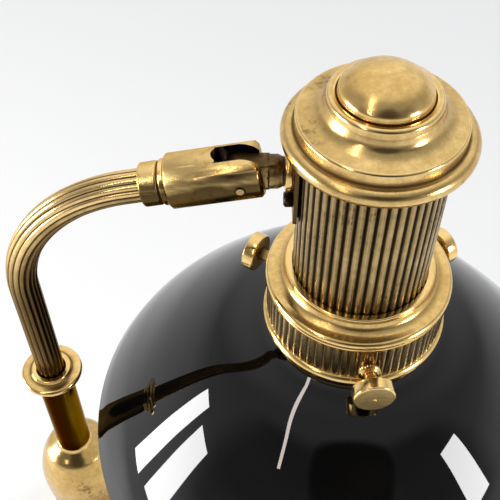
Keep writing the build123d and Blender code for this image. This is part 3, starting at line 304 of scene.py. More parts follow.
def turned(node, profile, centre=ORIGIN, axis=UP, count=160, reeds=None, facts=None, holes=()):
    """Solid of revolution: profile (r, h) carried round an axis.

    A point is centre + h axis + r (cos a side + sin a cross). With reeds = (number, depth, floor radius,
    valley darkness), r beyond the floor is lowered by the depth times its fall down the reed, and the last
    value
    says how wide the dark valleys are: partly tarnish in the hollows, partly painted shade.
    """
    profile = np.asarray(profile, float)
    facts = facts or {}
    radii, heights = profile.T
    area = (radii * np.roll(heights, -1) - np.roll(radii, -1) * heights).sum()
    if area < 0:
        profile = profile[::-1]
        facts = {key: np.asarray(values)[::-1] for key, values in facts.items()}
    relief, along = relief_of(profile)
    a = np.linspace(0, 2 * pi, count, endpoint=False)[:, None]
    r = np.broadcast_to(profile[None, :, 0], (count, len(profile)))
    worn = np.broadcast_to(relief[None], r.shape)
    if reeds:
        number, depth, floor_radius, valley_tarnish_and_shade = reeds
        fall = reed_fall(a, number)
        outside = (r > floor_radius).astype(float)
        r = r - depth * fall * outside
        # Dark reed valleys: partly tarnish in the hollows, partly painted shade
        worn = np.clip(worn + outside * (REED_CREST - valley_tarnish_and_shade * fall**REED_POWER), 0, 1)
    axis = np.asarray(axis, float)
    side = np.array([1.0, 0, 0]) if abs(axis[2]) > UPRIGHT else np.array([-axis[1], axis[0], 0.0])
    side = side / np.linalg.norm(side)
    cross = np.cross(axis, side)
    points = (
        np.asarray(centre, float)
        + profile[None, :, 1, None] * axis
        + r[..., None] * (np.cos(a)[..., None] * side + np.sin(a)[..., None] * cross)
    )
    values = {"relief": worn, "along": along[None]}
    values.update((key, np.asarray(extra)[None]) for key, extra in facts.items())
    mesh = surface(node, points, values, merge=profile[:, 0].min() < ON_AXIS)
    place(drill(mesh, holes) if holes else mesh, node)


def tube(node, inner, outer, low, high):
    """Plain tube of the column: a rectangle with softened corners, turned."""
    corners = [(inner, low), (outer, low), (outer, high), (inner, high)]
    turned(node, rounded(corners, radius=0.25), count=128)


def smoothed(node):
    """Copy of a node's own surface with its points joined and its round faces shaded smooth."""
    mesh = bpy.data.meshes.new(node)
    join_points(frame["nodes"][node].data, mesh, WELD_DISTANCE)
    put_values(mesh, "relief", np.full(len(mesh.vertices), RELIEF_FLAT))
    put_values(mesh, "along", points_of(mesh)[:, 0] / MM)
    place(mesh, node, sharp=30)


# Sizes that pieces of the head share: radii, and heights over the fitter
SHELL_R, SHELL_BORE = 22.6, 20.6
SHELL_LOW, SHELL_TOP = 3.0, 66.0
CAP_SEAT = 76.0
SKIRT_R, SKIRT_BORE = 30.9, 29.2
SKIRT_LOW, SKIRT_TOP = -18.2, -3.2

# Glass shade: dome profile, its inner wall one glass thickness within, and the lipped neck
GLASS = 3.0
NECK_R, NECK_BORE, LIP_R = 26.8, 23.8, 28.6
NECK_TOP, NECK_LOW = -4.0, -18.0
DOME_START = np.array([33.0, -25.5])
DOME_SPAN = np.array([67.0, -64.5])
DOME_SHARES = np.array([(0, 0), (0.254, 0.124), (0.522, 0.364), (0.776, 0.662), (0.925, 0.868), (1, 1)])
RIM_SWELL = (0.2, -1.3)
RIM_OUTSIDE = 4
dome = spline(DOME_START + DOME_SHARES * DOME_SPAN, 72)
slope = np.gradient(dome, axis=0)
slope /= np.linalg.norm(slope, axis=1)[:, None]
lining = dome + GLASS * np.stack([slope[:, 1], -slope[:, 0]], 1)
rim = spline([dome[-1], 0.5 * (dome[-1] + lining[-1]) + RIM_SWELL, lining[-1]], 10)[1:-1]
neck_outer = spline([(NECK_R, NECK_LOW), (26.9, -21.4), (28.4, -23.6), DOME_START], 16)[:-1]
neck_corners = [
    (NECK_BORE, NECK_LOW), (NECK_BORE, NECK_TOP), (LIP_R, NECK_TOP), (LIP_R, -7.6),
    (NECK_R, -9.4), (NECK_R, -17.5),
]
neck_lip = rounded(neck_corners, 0.8)[6:-6]
shade_profile = np.vstack([neck_outer, dome, rim, lining[::-1], [(NECK_BORE, -25.3)], neck_lip])
inside = np.concatenate([
    np.zeros(len(neck_outer) + len(dome) + RIM_OUTSIDE),
    np.ones(len(rim) - RIM_OUTSIDE + len(lining) + 1),
    np.zeros(len(neck_lip)),
])
turned("shade", shade_profile, HEAD, count=256, facts={"inside": inside})

# Cap with its bead, and the finial
cap_profile = np.vstack([
    [(4.05, 74.6), (4.05, CAP_SEAT), (13.9, CAP_SEAT), (13.9, 76.9)],
    arc((15.1, 76.0), 1.2, 110, 0, 8),
    [(16.35, 74.6)],
    spline([(16.4, 74.5), (17.6, 72.0), (20.2, 70.3), (23.2, 69.6)], 14),
    arc((23.6, 68.7), 0.9, 80, 0, 7),
    [(24.5, 67.2), (24.7, 65.5)],
    arc((25.7, 62.6), 2.7, 100, -90, 22),
    [(22.8, 59.9), (22.8, SHELL_TOP), (SHELL_BORE, SHELL_TOP), (14.9, 69.0), (14.9, 74.6)],
])
turned("cap", cap_profile, HEAD, count=192)
finial_profile = np.vstack([
    [(0, CAP_SEAT), (13.1, CAP_SEAT), (13.4, 76.3), (13.4, 77.4)],
    spline([(13.4, 77.5), (12.7, 79.4), (9.65, 81.95), (5.0, 83.6), (0, 84.0)], 40),
])
turned("cap_finial", finial_profile, HEAD, count=160)

# Reeded cover of the lampholder, with the holes behind the bracket for the stud and the screw
SHELL_REEDS, SHELL_REED_STEPS = 48, 14
SHELL_WALL_X = REACH - 21.6
STUD_HOLE_R, PLATE_SCREW_HOLE_R = 3.05, 1.55
PLATE_SCREW_Z = FITTER + 35.5
plate_holes = [
    ((SHELL_WALL_X, 0, height), TO_HEAD, radius, 6.0)
    for height, radius in ((PIN[1], STUD_HOLE_R), (PLATE_SCREW_Z, PLATE_SCREW_HOLE_R))
]
shell_profile = sleeve(SHELL_R, SHELL_BORE, SHELL_LOW, SHELL_TOP, 40, 6)
turned(
    "holder_shell", shell_profile, HEAD, count=SHELL_REEDS * SHELL_REED_STEPS,
    reeds=(SHELL_REEDS, 0.8, 21.5, 1.30), holes=plate_holes,
)

# Gallery: turned ring, fluted skirt with its screw holes, and rolled rim
SKIRT_REEDS, SKIRT_REED_STEPS = 64, 12
SKIRT_WALL_R = 30
SCREW_ANGLES = (-86.0, 34.0, 150.0)
SCREW_WAYS = [(cos(radians(angle)), sin(radians(angle)), 0.0) for angle in SCREW_ANGLES]
SCREW_LEVEL = FITTER - 13.0
BOSS_HOLE_R = 3.0
ring_profile = np.vstack([
    [(19.5, -0.8), (19.5, SHELL_LOW), (22.8, SHELL_LOW), (22.8, 6.1)],
    arc((24.5, 5.5), 0.6, 90, 0, 6),
    [(25.2, 4.5)],
    spline([(25.25, 4.3), (26.2, 2.6), (28.0, 1.7), (29.6, 1.5)], 12),
    arc((30.05, 0.05), 1.45, 92, -60, 16),
    arc((30.1, -2.25), 0.9, 62, -80, 12),
    [(SKIRT_BORE, SKIRT_TOP), (SKIRT_BORE, -0.8)],
])
turned("gallery_ring", ring_profile, HEAD, count=192)
boss_holes = [
    ((REACH + SKIRT_WALL_R * way[0], SKIRT_WALL_R * way[1], SCREW_LEVEL), way, BOSS_HOLE_R, 8.0)
    for way in SCREW_WAYS
]
skirt_profile = sleeve(SKIRT_R, SKIRT_BORE, SKIRT_LOW, SKIRT_TOP, 14, 4)
turned(
    "gallery_skirt", skirt_profile, HEAD, count=SKIRT_REEDS * SKIRT_REED_STEPS,
    reeds=(SKIRT_REEDS, 0.6, 30.0, 0.80), holes=boss_holes,
)
rim_profile = np.vstack([
    [(SKIRT_BORE, -21.9), (SKIRT_BORE, SKIRT_LOW), (30.6, SKIRT_LOW)],
    arc((29.95, -20.2), 2.15, 62, -78, 22),
])
turned("gallery_rim", rim_profile, HEAD, count=192)

# Thumbscrews: shank, head with softened edges and a centre dimple; heights are distances from the head's axis
SHANK_R = 2.0
SCREW_HEAD_BACK, SCREW_HEAD_FACE = 37.8, 42.2
screw_profile = np.vstack([
    [(0, 27.1), (1.8, 27.1), (SHANK_R, 27.3), (SHANK_R, 37.6)],
    [(SHANK_R, SCREW_HEAD_BACK), (6.4, SCREW_HEAD_BACK)],
    arc((6.5, 38.3), 0.5, -90, 0, 6),
    arc((6.5, 41.7), 0.5, 0, 90, 6),
    [(6.2, SCREW_HEAD_FACE), (1.0, SCREW_HEAD_FACE), (0.72, SCREW_HEAD_FACE)],
    [(0.66, 42.1), (0.56, 41.5), (0.12, 41.2), (0, 41.2)],
])
for number, way in enumerate(SCREW_WAYS, start=1):
    turned(f"thumb_screw_{number}", screw_profile, (REACH, 0, SCREW_LEVEL), way, count=96)

# Column: collar, post, vase, lower tube and foot
COLLAR_TOP = FITTER - 59.6
COLLAR_FLOOR = COLLAR_TOP - 4.75
COLLAR_LOW = COLLAR_TOP - 6.8
FLANGE_TOP = COLLAR_TOP - 1.3
SLEEVE_LOW = COLLAR_TOP - 24.4
TIE_BORE = 5.05
VASE_LOW, VASE_SEAT = 160.0, 236.0
FOOT_LOW, FOOT_SEAT = 34.0, 48.0
collar_corners = [
    (5.55, COLLAR_FLOOR), (5.55, COLLAR_TOP), (7.4, COLLAR_TOP), (8.1, FLANGE_TOP), (10.2, FLANGE_TOP),
]
collar_profile = np.vstack([
    rounded(collar_corners, 0.35)[5:-6],
    arc((10.4, COLLAR_TOP - 2.7), 1.4, 90, -90, 16),
    [(8.2, COLLAR_TOP - 4.7), (7.5, COLLAR_LOW), (5.95, COLLAR_LOW), (5.95, SLEEVE_LOW)],
    [(3.96, SLEEVE_LOW), (3.96, COLLAR_FLOOR)],
])
turned("collar", collar_profile, count=144)
tube("post_tube", 6.0, 7.0, VASE_SEAT, COLLAR_LOW)
tube("column_tube", 7.6, 9.0, FOOT_SEAT, VASE_LOW)
vase_profile = np.vstack([
    [(TIE_BORE, VASE_LOW), (10.6, VASE_LOW)],
    bead((11.0, 161.9), 1.9, 0.632, 4.05, 14),
    [(9.5, 164.5)],
    spline([(9.4, 164.7), (12.6, 177.0), (16.4, 194.0), (18.0, 219.5), (14.0, 235.2), (9.0, 240.8)], 60),
    spline([(8.9, 240.9), (7.9, 241.9), (7.3, 243.4)], 8),
    [(7.05, 243.6), (7.05, VASE_SEAT), (3.9, VASE_SEAT), (3.9, 178.0), (TIE_BORE, 178.0)],
])
turned("column_vase", vase_profile, count=160)
foot_profile = np.vstack([
    rounded([(TIE_BORE, FOOT_LOW), (25.4, FOOT_LOW), (25.4, 37.4), (21.2, 38.3)], 0.8)[6:-7],
    spline([(21.0, 38.3), (14.2, 42.2), (11.4, 50.0)], 16),
    bead((12.2, 52.6), 1.8, 0.667, 4.07, 12),
    [(10.6, 56.0), (9.05, 56.0), (9.05, FOOT_SEAT), (TIE_BORE, FOOT_SEAT)],
])
turned("column_foot", foot_profile, count=160)

# Base: two-tier spun shell with holes for the switch (at the middle of its button) and the inlet, and the pad
PAD_TOP = 2.0
UPPER_TIER, UPPER_UNDER = 20.0, 18.4
LOWER_TIER, LOWER_UNDER = 15.0, 13.4
UPPER_R, UPPER_BORE = 80.0, 78.4
BASE_R, BASE_BORE = 92.5, 90.9
SWITCH = (0.0, 500 * sum(corner[1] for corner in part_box("switch_button")), 0.0)
tier_corners = [
    (60.0, UPPER_TIER), (UPPER_R, UPPER_TIER), (UPPER_R, LOWER_TIER), (BASE_R, LOWER_TIER), (BASE_R, PAD_TOP),
    (BASE_BORE, PAD_TOP),
]
base_profile = np.vstack([
    [(TIE_BORE, 32.4), (TIE_BORE, FOOT_LOW), (25.4, FOOT_LOW), (26.0, 33.4), (26.0, 32.8)],
    spline([(26.0, 32.6), (28.2, 28.2), (33.1, 24.2), (40.0, 21.4), (47.0, UPPER_TIER)], 30),
    rounded(tier_corners, 1.5)[8:-8],
    [(BASE_BORE, 2.1), (BASE_BORE, LOWER_UNDER), (UPPER_BORE, LOWER_UNDER), (UPPER_BORE, UPPER_UNDER)],
    [(46.2, UPPER_UNDER)],
    spline([(46.2, UPPER_UNDER), (40.0, 19.6), (32.0, 22.9), (26.8, 27.6), (24.4, 32.4)], 16),
])
switch_hole = ((0.0, SWITCH[1], 19.2), UP, 7.05, 5.0)
inlet_hole = ((-91.7, 0, 8.4), TO_HEAD, 4.25, 6.0)
turned("base_shell", base_profile, count=224, holes=[switch_hole, inlet_hole])
turned("base_pad", [(0, 0), (89.9, 0), (91.0, 0.3), (91.5, 1.0), (91.5, PAD_TOP), (0, PAD_TOP)], count=192)

# Switch button and bezel
bezel_corners = [
    (5.9, UPPER_UNDER), (7.0, UPPER_UNDER), (7.0, UPPER_TIER), (8.6, UPPER_TIER),
    (8.6, 21.5), (7.9, 22.2), (5.9, 22.2),
]
turned("switch_bezel", rounded(bezel_corners, 0.3), SWITCH, count=96)
button_profile = np.vstack([
    [(0, 12.0), (5.5, 12.0), (5.5, 24.4)],
    arc((4.3, 24.6), 1.2, 0, 90, 8),
    [(2.5, 25.7), (0, 25.5)],
])
turned("switch_button", button_profile, SWITCH, count=96)

# Reeded swan neck: a reeded section carried along a leg, a bend and a run, and drawn to a point at both ends
ARM_REEDS, ARM_REED_STEPS = 14, 12
ARM_R, ARM_REED_DEPTH = 5.25, 0.5
ARM_BACK = 17.1
ARM_LIFT = 2.35
ARM_LOW = COLLAR_FLOOR + ARM_LIFT
ARM_LENGTH = 140
BEND_SHARE = 0.664
BEND_R = BEND_SHARE * PIN[0]
TURN = pi / 2 - RISE
corner_z = PIN[1] - PIN[0] * tan(RISE)
bend_start = corner_z - BEND_R * tan(TURN / 2)
bend_end = (BEND_R * (1 - cos(TURN)), bend_start + BEND_R * sin(TURN))
leg_z = np.linspace(ARM_LOW, bend_start, 12)
turns = np.linspace(0, TURN, 60)[1:]
run = np.linspace(0, PIN[0] / cos(RISE) - ARM_BACK - BEND_R * tan(TURN / 2), 8)[1:]
path_x = np.concatenate([0 * leg_z, BEND_R * (1 - np.cos(turns)), bend_end[0] + run * sin(TURN)])
path_z = np.concatenate([leg_z, bend_start + BEND_R * np.sin(turns), bend_end[1] + run * cos(TURN)])
lean = np.concatenate([0 * leg_z, turns, np.full(len(run), TURN)])
swell = np.concatenate([[0.0], np.ones(len(lean)), [0.0]])
path_x, path_z, lean = (np.concatenate([k[:1], k, k[-1:]]) for k in (path_x, path_z, lean))
around = np.linspace(0, 2 * pi, ARM_REEDS * ARM_REED_STEPS, endpoint=False)[:, None]
arm_fall = reed_fall(around, ARM_REEDS)
arm_radius = swell[None, :] * (ARM_R - ARM_REED_DEPTH * arm_fall)
across = np.cos(around) * arm_radius
arm_points = np.stack([
    path_x[None] + across * np.cos(lean)[None],
    np.sin(around) * arm_radius,
    path_z[None] - across * np.sin(lean)[None],
], -1)
arm_facts = {
    "relief": np.clip(0.80 - 0.95 * arm_fall, 0, 1),
    "along": np.linspace(0, ARM_LENGTH, len(lean))[None],
    # Underside: where the arm's painted shade lies, on the inside of the leg and under the run
    "underside": np.clip(0.5 + 0.9 * np.cos(around), 0, 1),
}
place(surface("arm_tube", arm_points, arm_facts, wrap_v=False, merge=True), "arm_tube", sharp=70)

# Ferrule on the arm's end, turned about the barrel's axis; heights are distances from the pin
ALONG_BARREL = (cos(RISE), 0.0, sin(RISE))
ferrule_corners = [
    (5.3, -30.1), (6.4, -30.1), (6.8, -29.6), (6.8, -24.7), (6.3, -24.2),
    (6.3, -23.9), (7.1, -23.6), (7.1, -22.1), (5.3, -22.1),
]
turned("arm_ferrule", rounded(ferrule_corners, 0.3), (PIN[0], 0, PIN[1]), ALONG_BARREL, count=128)

# Pieces whose own surface is right
OWN_SURFACE = (
    "knuckle_barrel", "knuckle_pin", "knuckle_tongue", "swivel_stud", "swivel_washer", "bracket_plate",
    "bracket_screw", "screw_bosses", "cord_bush", "bulb_glass", "bulb_cap", "holder_core", "holder_socket",
)
for node in OWN_SURFACE:
    smoothed(node)


def group(name, inputs, outputs):
    """Empty shader node group with named sockets."""
    tree = bpy.data.node_groups.new(name, "ShaderNodeTree")
    for label, kind, default in inputs:
        socket = tree.interface.new_socket(label, in_out="INPUT", socket_type=kind)
        if default is not None:
            socket.default_value = default
    for label, kind in outputs:
        tree.interface.new_socket(label, in_out="OUTPUT", socket_type=kind)
    return tree, tree.nodes.new("NodeGroupInput"), tree.nodes.new("NodeGroupOutput")


def give(tree, socket, value):
    """Gives a socket its value: a number, a colour or another node's output."""
    if isinstance(value, tuple):
        socket.default_value = (*value, 1.0)
    elif isinstance(value, (int, float)):
        socket.default_value = value
    else:
        tree.links.new(value, socket)


def calc(tree, kind, a, b=None, clamp=False):
    """Math node on sockets or numbers."""
    node = tree.nodes.new("ShaderNodeMath")
    node.operation = kind
    node.use_clamp = clamp
    give(tree, node.inputs[0], a)
    if b is not None:
        give(tree, node.inputs[1], b)
    return node.outputs[0]


def plus(tree, total, *terms):
    """Sum of sockets and numbers."""
    for term in terms:
        total = calc(tree, "ADD", total, term)
    return total


def minus(tree, a, b, clamp=False):
    """Difference of two sockets or numbers."""
    return calc(tree, "SUBTRACT", a, b, clamp)


def times(tree, product, *factors):
    """Product of sockets and numbers."""
    for factor in factors:
        product = calc(tree, "MULTIPLY", product, factor)
    return product


def ramp(tree, value, low, high):
    """Smooth step of a value from low to high, as 0 to 1."""
    node = tree.nodes.new("ShaderNodeMapRange")
    node.interpolation_type = "SMOOTHSTEP"
    for label, number in (("Value", value), ("From Min", low), ("From Max", high)):
        give(tree, node.inputs[label], number)
    return node.outputs["Result"]


def noise(tree, coords, scale, detail=4.0, rough=0.55):
    """Three-way noise value."""
    node = tree.nodes.new("ShaderNodeTexNoise")
    for label, value in (("Vector", coords), ("Scale", scale), ("Detail", detail), ("Roughness", rough)):
        give(tree, node.inputs[label], value)
    return node.outputs["Fac"]


def mix(tree, amount, a, b):
    """Colour mix by an amount; a and b are sockets or colours."""
    node = tree.nodes.new("ShaderNodeMix")
    node.data_type = "RGBA"
    tree.links.new(amount, node.inputs["Factor"])
    for socket, value in zip((socket for socket in node.inputs if socket.type == "RGBA"), (a, b)):
        give(tree, socket, value)
    return next(socket for socket in node.outputs if socket.type == "RGBA")


def axes(tree, coords):
    """X, Y and Z of a vector."""
    split = tree.nodes.new("ShaderNodeSeparateXYZ")
    tree.links.new(coords, split.inputs[0])
    return split.outputs["X"], split.outputs["Y"], split.outputs["Z"]


def make_patina():
    """Aged metal: bright rubbed edges, mottled skin, brown tarnish in hollows and in blotches."""
    tree, given, out = group(
        "aged_metal",
        [
            ("Coords", "NodeSocketVector", None),
            ("Relief", "NodeSocketFloat", RELIEF_FLAT),
            ("Age", "NodeSocketFloat", 0.4),
            ("Bright", "NodeSocketColor", (0.74, 0.52, 0.24, 1)),
            ("Skin", "NodeSocketColor", (0.52, 0.34, 0.14, 1)),
            ("Tarnish", "NodeSocketColor", (0.13, 0.07, 0.03, 1)),
        ],
        [("Color", "NodeSocketColor"), ("Roughness", "NodeSocketFloat"), ("Height", "NodeSocketFloat")],
    )
    coords, relief, age = (given.outputs[label] for label in ("Coords", "Relief", "Age"))
    broad = noise(tree, coords, scale=55.0, detail=5.0, rough=0.6)
    spots = noise(tree, coords, scale=420.0, detail=5.0, rough=0.65)
    fine = noise(tree, coords, scale=2600.0, detail=3.0)
    blend = plus(tree, times(tree, broad, 0.62), times(tree, spots, 0.38))
    hollow = ramp(tree, relief, low=0.46, high=0.02)
    edge = ramp(tree, relief, low=0.58, high=0.95)
    blotch_low = minus(tree, 0.70, times(tree, age, 0.30))
    blotch = times(tree, ramp(tree, blend, blotch_low, plus(tree, blotch_low, 0.14)), 0.75)
    stain = calc(tree, "MAXIMUM", times(tree, hollow, 0.92), blotch)
    stain = minus(tree, stain, times(tree, edge, 0.7), clamp=True)
    skin = ramp(tree, plus(tree, blend, times(tree, age, 0.25)), low=0.42, high=0.70)
    skin = minus(tree, skin, times(tree, edge, 0.8), clamp=True)
    colour = mix(tree, skin, given.outputs["Bright"], given.outputs["Skin"])
    colour = mix(tree, stain, colour, given.outputs["Tarnish"])
    rough = plus(tree, 0.12, times(tree, skin, 0.11), times(tree, stain, 0.28), times(tree, fine, 0.05))
    height = plus(tree, times(tree, spots, 0.6), times(tree, fine, 0.4))
    for label, value in (("Color", colour), ("Roughness", rough), ("Height", height)):
        tree.links.new(value, out.inputs[label])
    return tree


def make_turning():
    """Fine rings left by the lathe: noise along the profile's length only."""
    tree, given, out = group(
        "turning_marks",
        [("Along", "NodeSocketFloat", 0.0), ("Pitch", "NodeSocketFloat", 3.0)],
        [("Marks", "NodeSocketFloat")],
    )
    node = tree.nodes.new("ShaderNodeTexNoise")
    node.noise_dimensions = "1D"
    rings = times(tree, given.outputs["Along"], given.outputs["Pitch"])
    for label, value in (("W", rings), ("Scale", 1.0), ("Detail", 3.0)):
        give(tree, node.inputs[label], value)
    tree.links.new(node.outputs["Fac"], out.inputs["Marks"])
    return tree


def make_dust():
    """Thin dust and finger smears: broad smears and fine grains, added."""
    tree, given, out = group(
        "dust_and_smears",
        [("Coords", "NodeSocketVector", None), ("Amount", "NodeSocketFloat", 0.3)],
        [("Mask", "NodeSocketFloat")],
    )
    coords = given.outputs["Coords"]
    smear = ramp(tree, noise(tree, coords, scale=28.0, rough=0.6), low=0.42, high=0.72)
    grain = ramp(tree, noise(tree, coords, scale=1900.0, detail=2.0), low=0.55, high=0.75)
    both = plus(tree, times(tree, smear, 0.6), times(tree, grain, 0.4))
    tree.links.new(times(tree, both, given.outputs["Amount"]), out.inputs["Mask"])
    return tree


PATINA = make_patina()
TURNING = make_turning()
DUST = make_dust()


def start(name):
    """New node material; gives its tree, shader and object coordinates."""
    material = bpy.data.materials.new(name)
    material.use_nodes = True
    tree = material.node_tree
    shader = tree.nodes["Principled BSDF"]
    coords = tree.nodes.new("ShaderNodeTexCoord").outputs["Object"]
    return material, tree, shader, coords


def use(tree, kind, **values):
    """Places a node group and sets or links its inputs."""
    node = tree.nodes.new("ShaderNodeGroup")
    node.node_tree = kind
    for label, value in values.items():
        give(tree, node.inputs[label], value)
    return node


def attribute(tree, name):
    """Value that a piece carries on its own points."""
    node = tree.nodes.new("ShaderNodeAttribute")
    node.attribute_name = name
    return node.outputs["Fac"]


def bump(tree, shader, height, strength, depth):
    """Bump of a height into the shader's normal."""
    node = tree.nodes.new("ShaderNodeBump")
    for label, value in (("Strength", strength), ("Distance", depth), ("Height", height)):
        give(tree, node.inputs[label], value)
    tree.links.new(node.outputs["Normal"], shader.inputs["Normal"])


RING_PITCH = 4.0
DENT_DEPTH = 0.00006


def metal(name, age, bright, skin, tarnish, marks=0.35, layers=(), edge=(1.0, 1.0, 1.0), dents=0.35):
    """Aged metal with lathe rings; each layer (mask, colour) lays its colour over part of it.

    The edge colour is what the metal reflects at a glancing angle, and dents is the strength of the bump.
    """
    material, tree, shader, coords = start(name)
    relief = attribute(tree, "relief")
    aged = use(tree, PATINA, Coords=coords, Relief=relief, Age=age, Bright=bright, Skin=skin, Tarnish=tarnish)
    rings = use(tree, TURNING, Along=attribute(tree, "along"), Pitch=RING_PITCH)
    colour = aged.outputs["Color"]
    for mask, over in layers:
        colour = mix(tree, mask(tree, coords), colour, over)
    shader.inputs["Metallic"].default_value = 1.0
    shader.inputs["Specular Tint"].default_value = (*edge, 1.0)
    tree.links.new(colour, shader.inputs["Base Color"])
    tree.links.new(aged.outputs["Roughness"], shader.inputs["Roughness"])
    height = plus(tree, aged.outputs["Height"], times(tree, rings.outputs["Marks"], marks))
    bump(tree, shader, height, dents, DENT_DEPTH)
    return material


# Masks: how far each layer of painted shade covers the brass
LEG_COVER, INNER_COVER, BARREL_COVER = 0.93, 0.80, 0.93


def streaks(tree, coords, stretch, scale, width):
    """Noise drawn out by a stretch, from minus to plus half a width."""
    node = tree.nodes.new("ShaderNodeMapping")
    node.inputs["Scale"].default_value = stretch
    tree.links.new(coords, node.inputs["Vector"])
    return times(tree, minus(tree, noise(tree, node.outputs["Vector"], scale), 0.5), width)


def slot_shade_mask(tree, coords):
    """Mask of painted shade in the knuckle's slot: between the cheeks, ahead of its round end and above its
    floor.
    """
    half_width, round_end, slot_floor = 3.3, PIN[0] - 7.6, PIN[1] - 7.2
    x, y, z = axes(tree, coords)
    between = calc(tree, "LESS_THAN", calc(tree, "ABSOLUTE", y), half_width * MM)
    ahead = calc(tree, "GREATER_THAN", x, round_end * MM)
    above = calc(tree, "GREATER_THAN", z, slot_floor * MM)
    return times(tree, between, ahead, above)


def leg_shade_mask(tree, coords):
    """Mask of painted shade on the lower leg: none on the arm's run, nearly full by the collar."""
    return times(tree, ramp(tree, axes(tree, coords)[2], low=386.0 * MM, high=344.0 * MM), LEG_COVER)


def inner_shade_mask(tree, coords):
    """Mask of painted shade on the arm's inner side and underside, broken up by a noise."""
    ragged = plus(tree, attribute(tree, "underside"), times(tree, noise(tree, coords, scale=160.0), 0.5))
    return times(tree, ramp(tree, ragged, low=0.58, high=1.12), INNER_COVER)


def barrel_shade_mask(tree, coords):
    """Mask of painted shade on the knuckle's underside: the height over its sloping axis, with a streaky
    edge.
    """
    x, _, z = axes(tree, coords)
    pin_level = (PIN[1] * cos(RISE) - PIN[0] * sin(RISE)) * MM
    level = minus(tree, minus(tree, times(tree, z, cos(RISE)), times(tree, x, sin(RISE))), pin_level)
    ragged = plus(tree, level, streaks(tree, coords, (0.18, 1.0, 1.0), scale=520.0, width=7.0 * MM))
    return times(tree, ramp(tree, ragged, low=6.6 * MM, high=1.6 * MM), BARREL_COVER)


def pin_mask(tree, coords):
    """Mask of the grimy ring at the cross pin's edge: the distance from the pin's axis."""
    x, _, z = axes(tree, coords)
    across_pin = minus(tree, x, PIN[0] * MM)
    upward = minus(tree, z, PIN[1] * MM)
    square = plus(tree, times(tree, across_pin, across_pin), times(tree, upward, upward))
    return ramp(tree, calc(tree, "SQRT", square), low=1.0 * MM, high=1.35 * MM)


def painted_side_light_mask(side):
    """Mask maker for one side of the post, +1 or -1 along X, where painted light lies on the dark post in
    streaks.
    """

    def mask(tree, coords):
        """Distance out along X, with an edge of streaks that run up the post."""
        outward = times(tree, axes(tree, coords)[0], side)
        ragged = plus(tree, outward, streaks(tree, coords, (1.0, 1.0, 0.06), scale=600.0, width=5.0 * MM))
        return ramp(tree, ragged, low=2.2 * MM, high=6.8 * MM)

    return mask


# Metals
BRIGHT = (0.90, 0.63, 0.25)
SKIN = (0.63, 0.41, 0.138)
BROWN = (0.075, 0.038, 0.013)
# Near-black: grime in the pin's dark ring, and painted shade inside the knuckle's slot
SOOT_AND_SHADE = (0.02, 0.014, 0.009)
ARM_SHADE_BROWN = (0.075, 0.042, 0.016)
brass = metal("aged_brass", 0.35, BRIGHT, SKIN, BROWN)
brass_cap = metal("hazed_brass", 0.50, (0.88, 0.62, 0.26), (0.59, 0.395, 0.143), BROWN)
# The reeded cover's colours are darker than the other brass: painted shade that stands in for dark
# reflections
brass_cover = metal(
    "reeded_brass", 0.6, (0.47, 0.33, 0.142), (0.27, 0.185, 0.077), (0.012, 0.007, 0.003),
    marks=0.0, dents=0.08,
)
brass_skirt = metal(
    "fluted_brass", 0.6, (0.62, 0.43, 0.18), (0.36, 0.245, 0.10), (0.022, 0.012, 0.005),
    marks=0.0, dents=0.10,
)
# The arm's umber layers are painted shade: on its inner side and underside, and on the lower leg by the
# collar
brass_arm = metal(
    "reeded_arm_brass", 0.4, (0.95, 0.68, 0.31), (0.66, 0.46, 0.195), (0.04, 0.022, 0.009), marks=0.0,
    layers=((inner_shade_mask, ARM_SHADE_BROWN), (leg_shade_mask, ARM_SHADE_BROWN)), edge=(0.92, 0.78, 0.58), dents=0.14,
)
# The post's very dark colours are painted shade; its layers lay painted light on its sides, a brighter
# painted reflection on +X towards the head and a dimmer one on -X
brass_post = metal(
    "browned_post_brass", 0.9, (0.026, 0.0145, 0.005), (0.015, 0.0085, 0.003), (0.010, 0.0055, 0.002),
    layers=((painted_side_light_mask(1.0), (0.17, 0.098, 0.024)), (painted_side_light_mask(-1.0), (0.060, 0.034, 0.011))),
    edge=(0.58, 0.45, 0.30),
)
brass_base = metal("aged_base_brass", 0.55, (0.80, 0.55, 0.215), (0.56, 0.365, 0.125), BROWN)
# The knuckle's layers are painted shade: on the barrel's underside and inside the slot
brass_knuckle = metal(
    "dull_brass", 0.55, (0.97, 0.69, 0.29), (0.75, 0.52, 0.205), (0.12, 0.065, 0.025),
    layers=((barrel_shade_mask, (0.036, 0.0185, 0.0055)), (slot_shade_mask, SOOT_AND_SHADE)), edge=(0.88, 0.70, 0.45),
)
brass_pin = metal(
    "ringed_pin_brass", 0.6, (0.62, 0.43, 0.18), (0.40, 0.27, 0.105), BROWN,
    marks=0.2, layers=((pin_mask, SOOT_AND_SHADE),),
)
brass_neck = metal("browned_brass", 0.9, (0.54, 0.37, 0.155), (0.30, 0.195, 0.078), (0.06, 0.035, 0.014))
steel_dark = metal("browned_steel", 1.1, (0.16, 0.13, 0.10), (0.07, 0.055, 0.042), (0.03, 0.02, 0.014))
steel = metal("grey_steel", 0.5, (0.55, 0.54, 0.52), (0.34, 0.33, 0.32), (0.10, 0.07, 0.05))


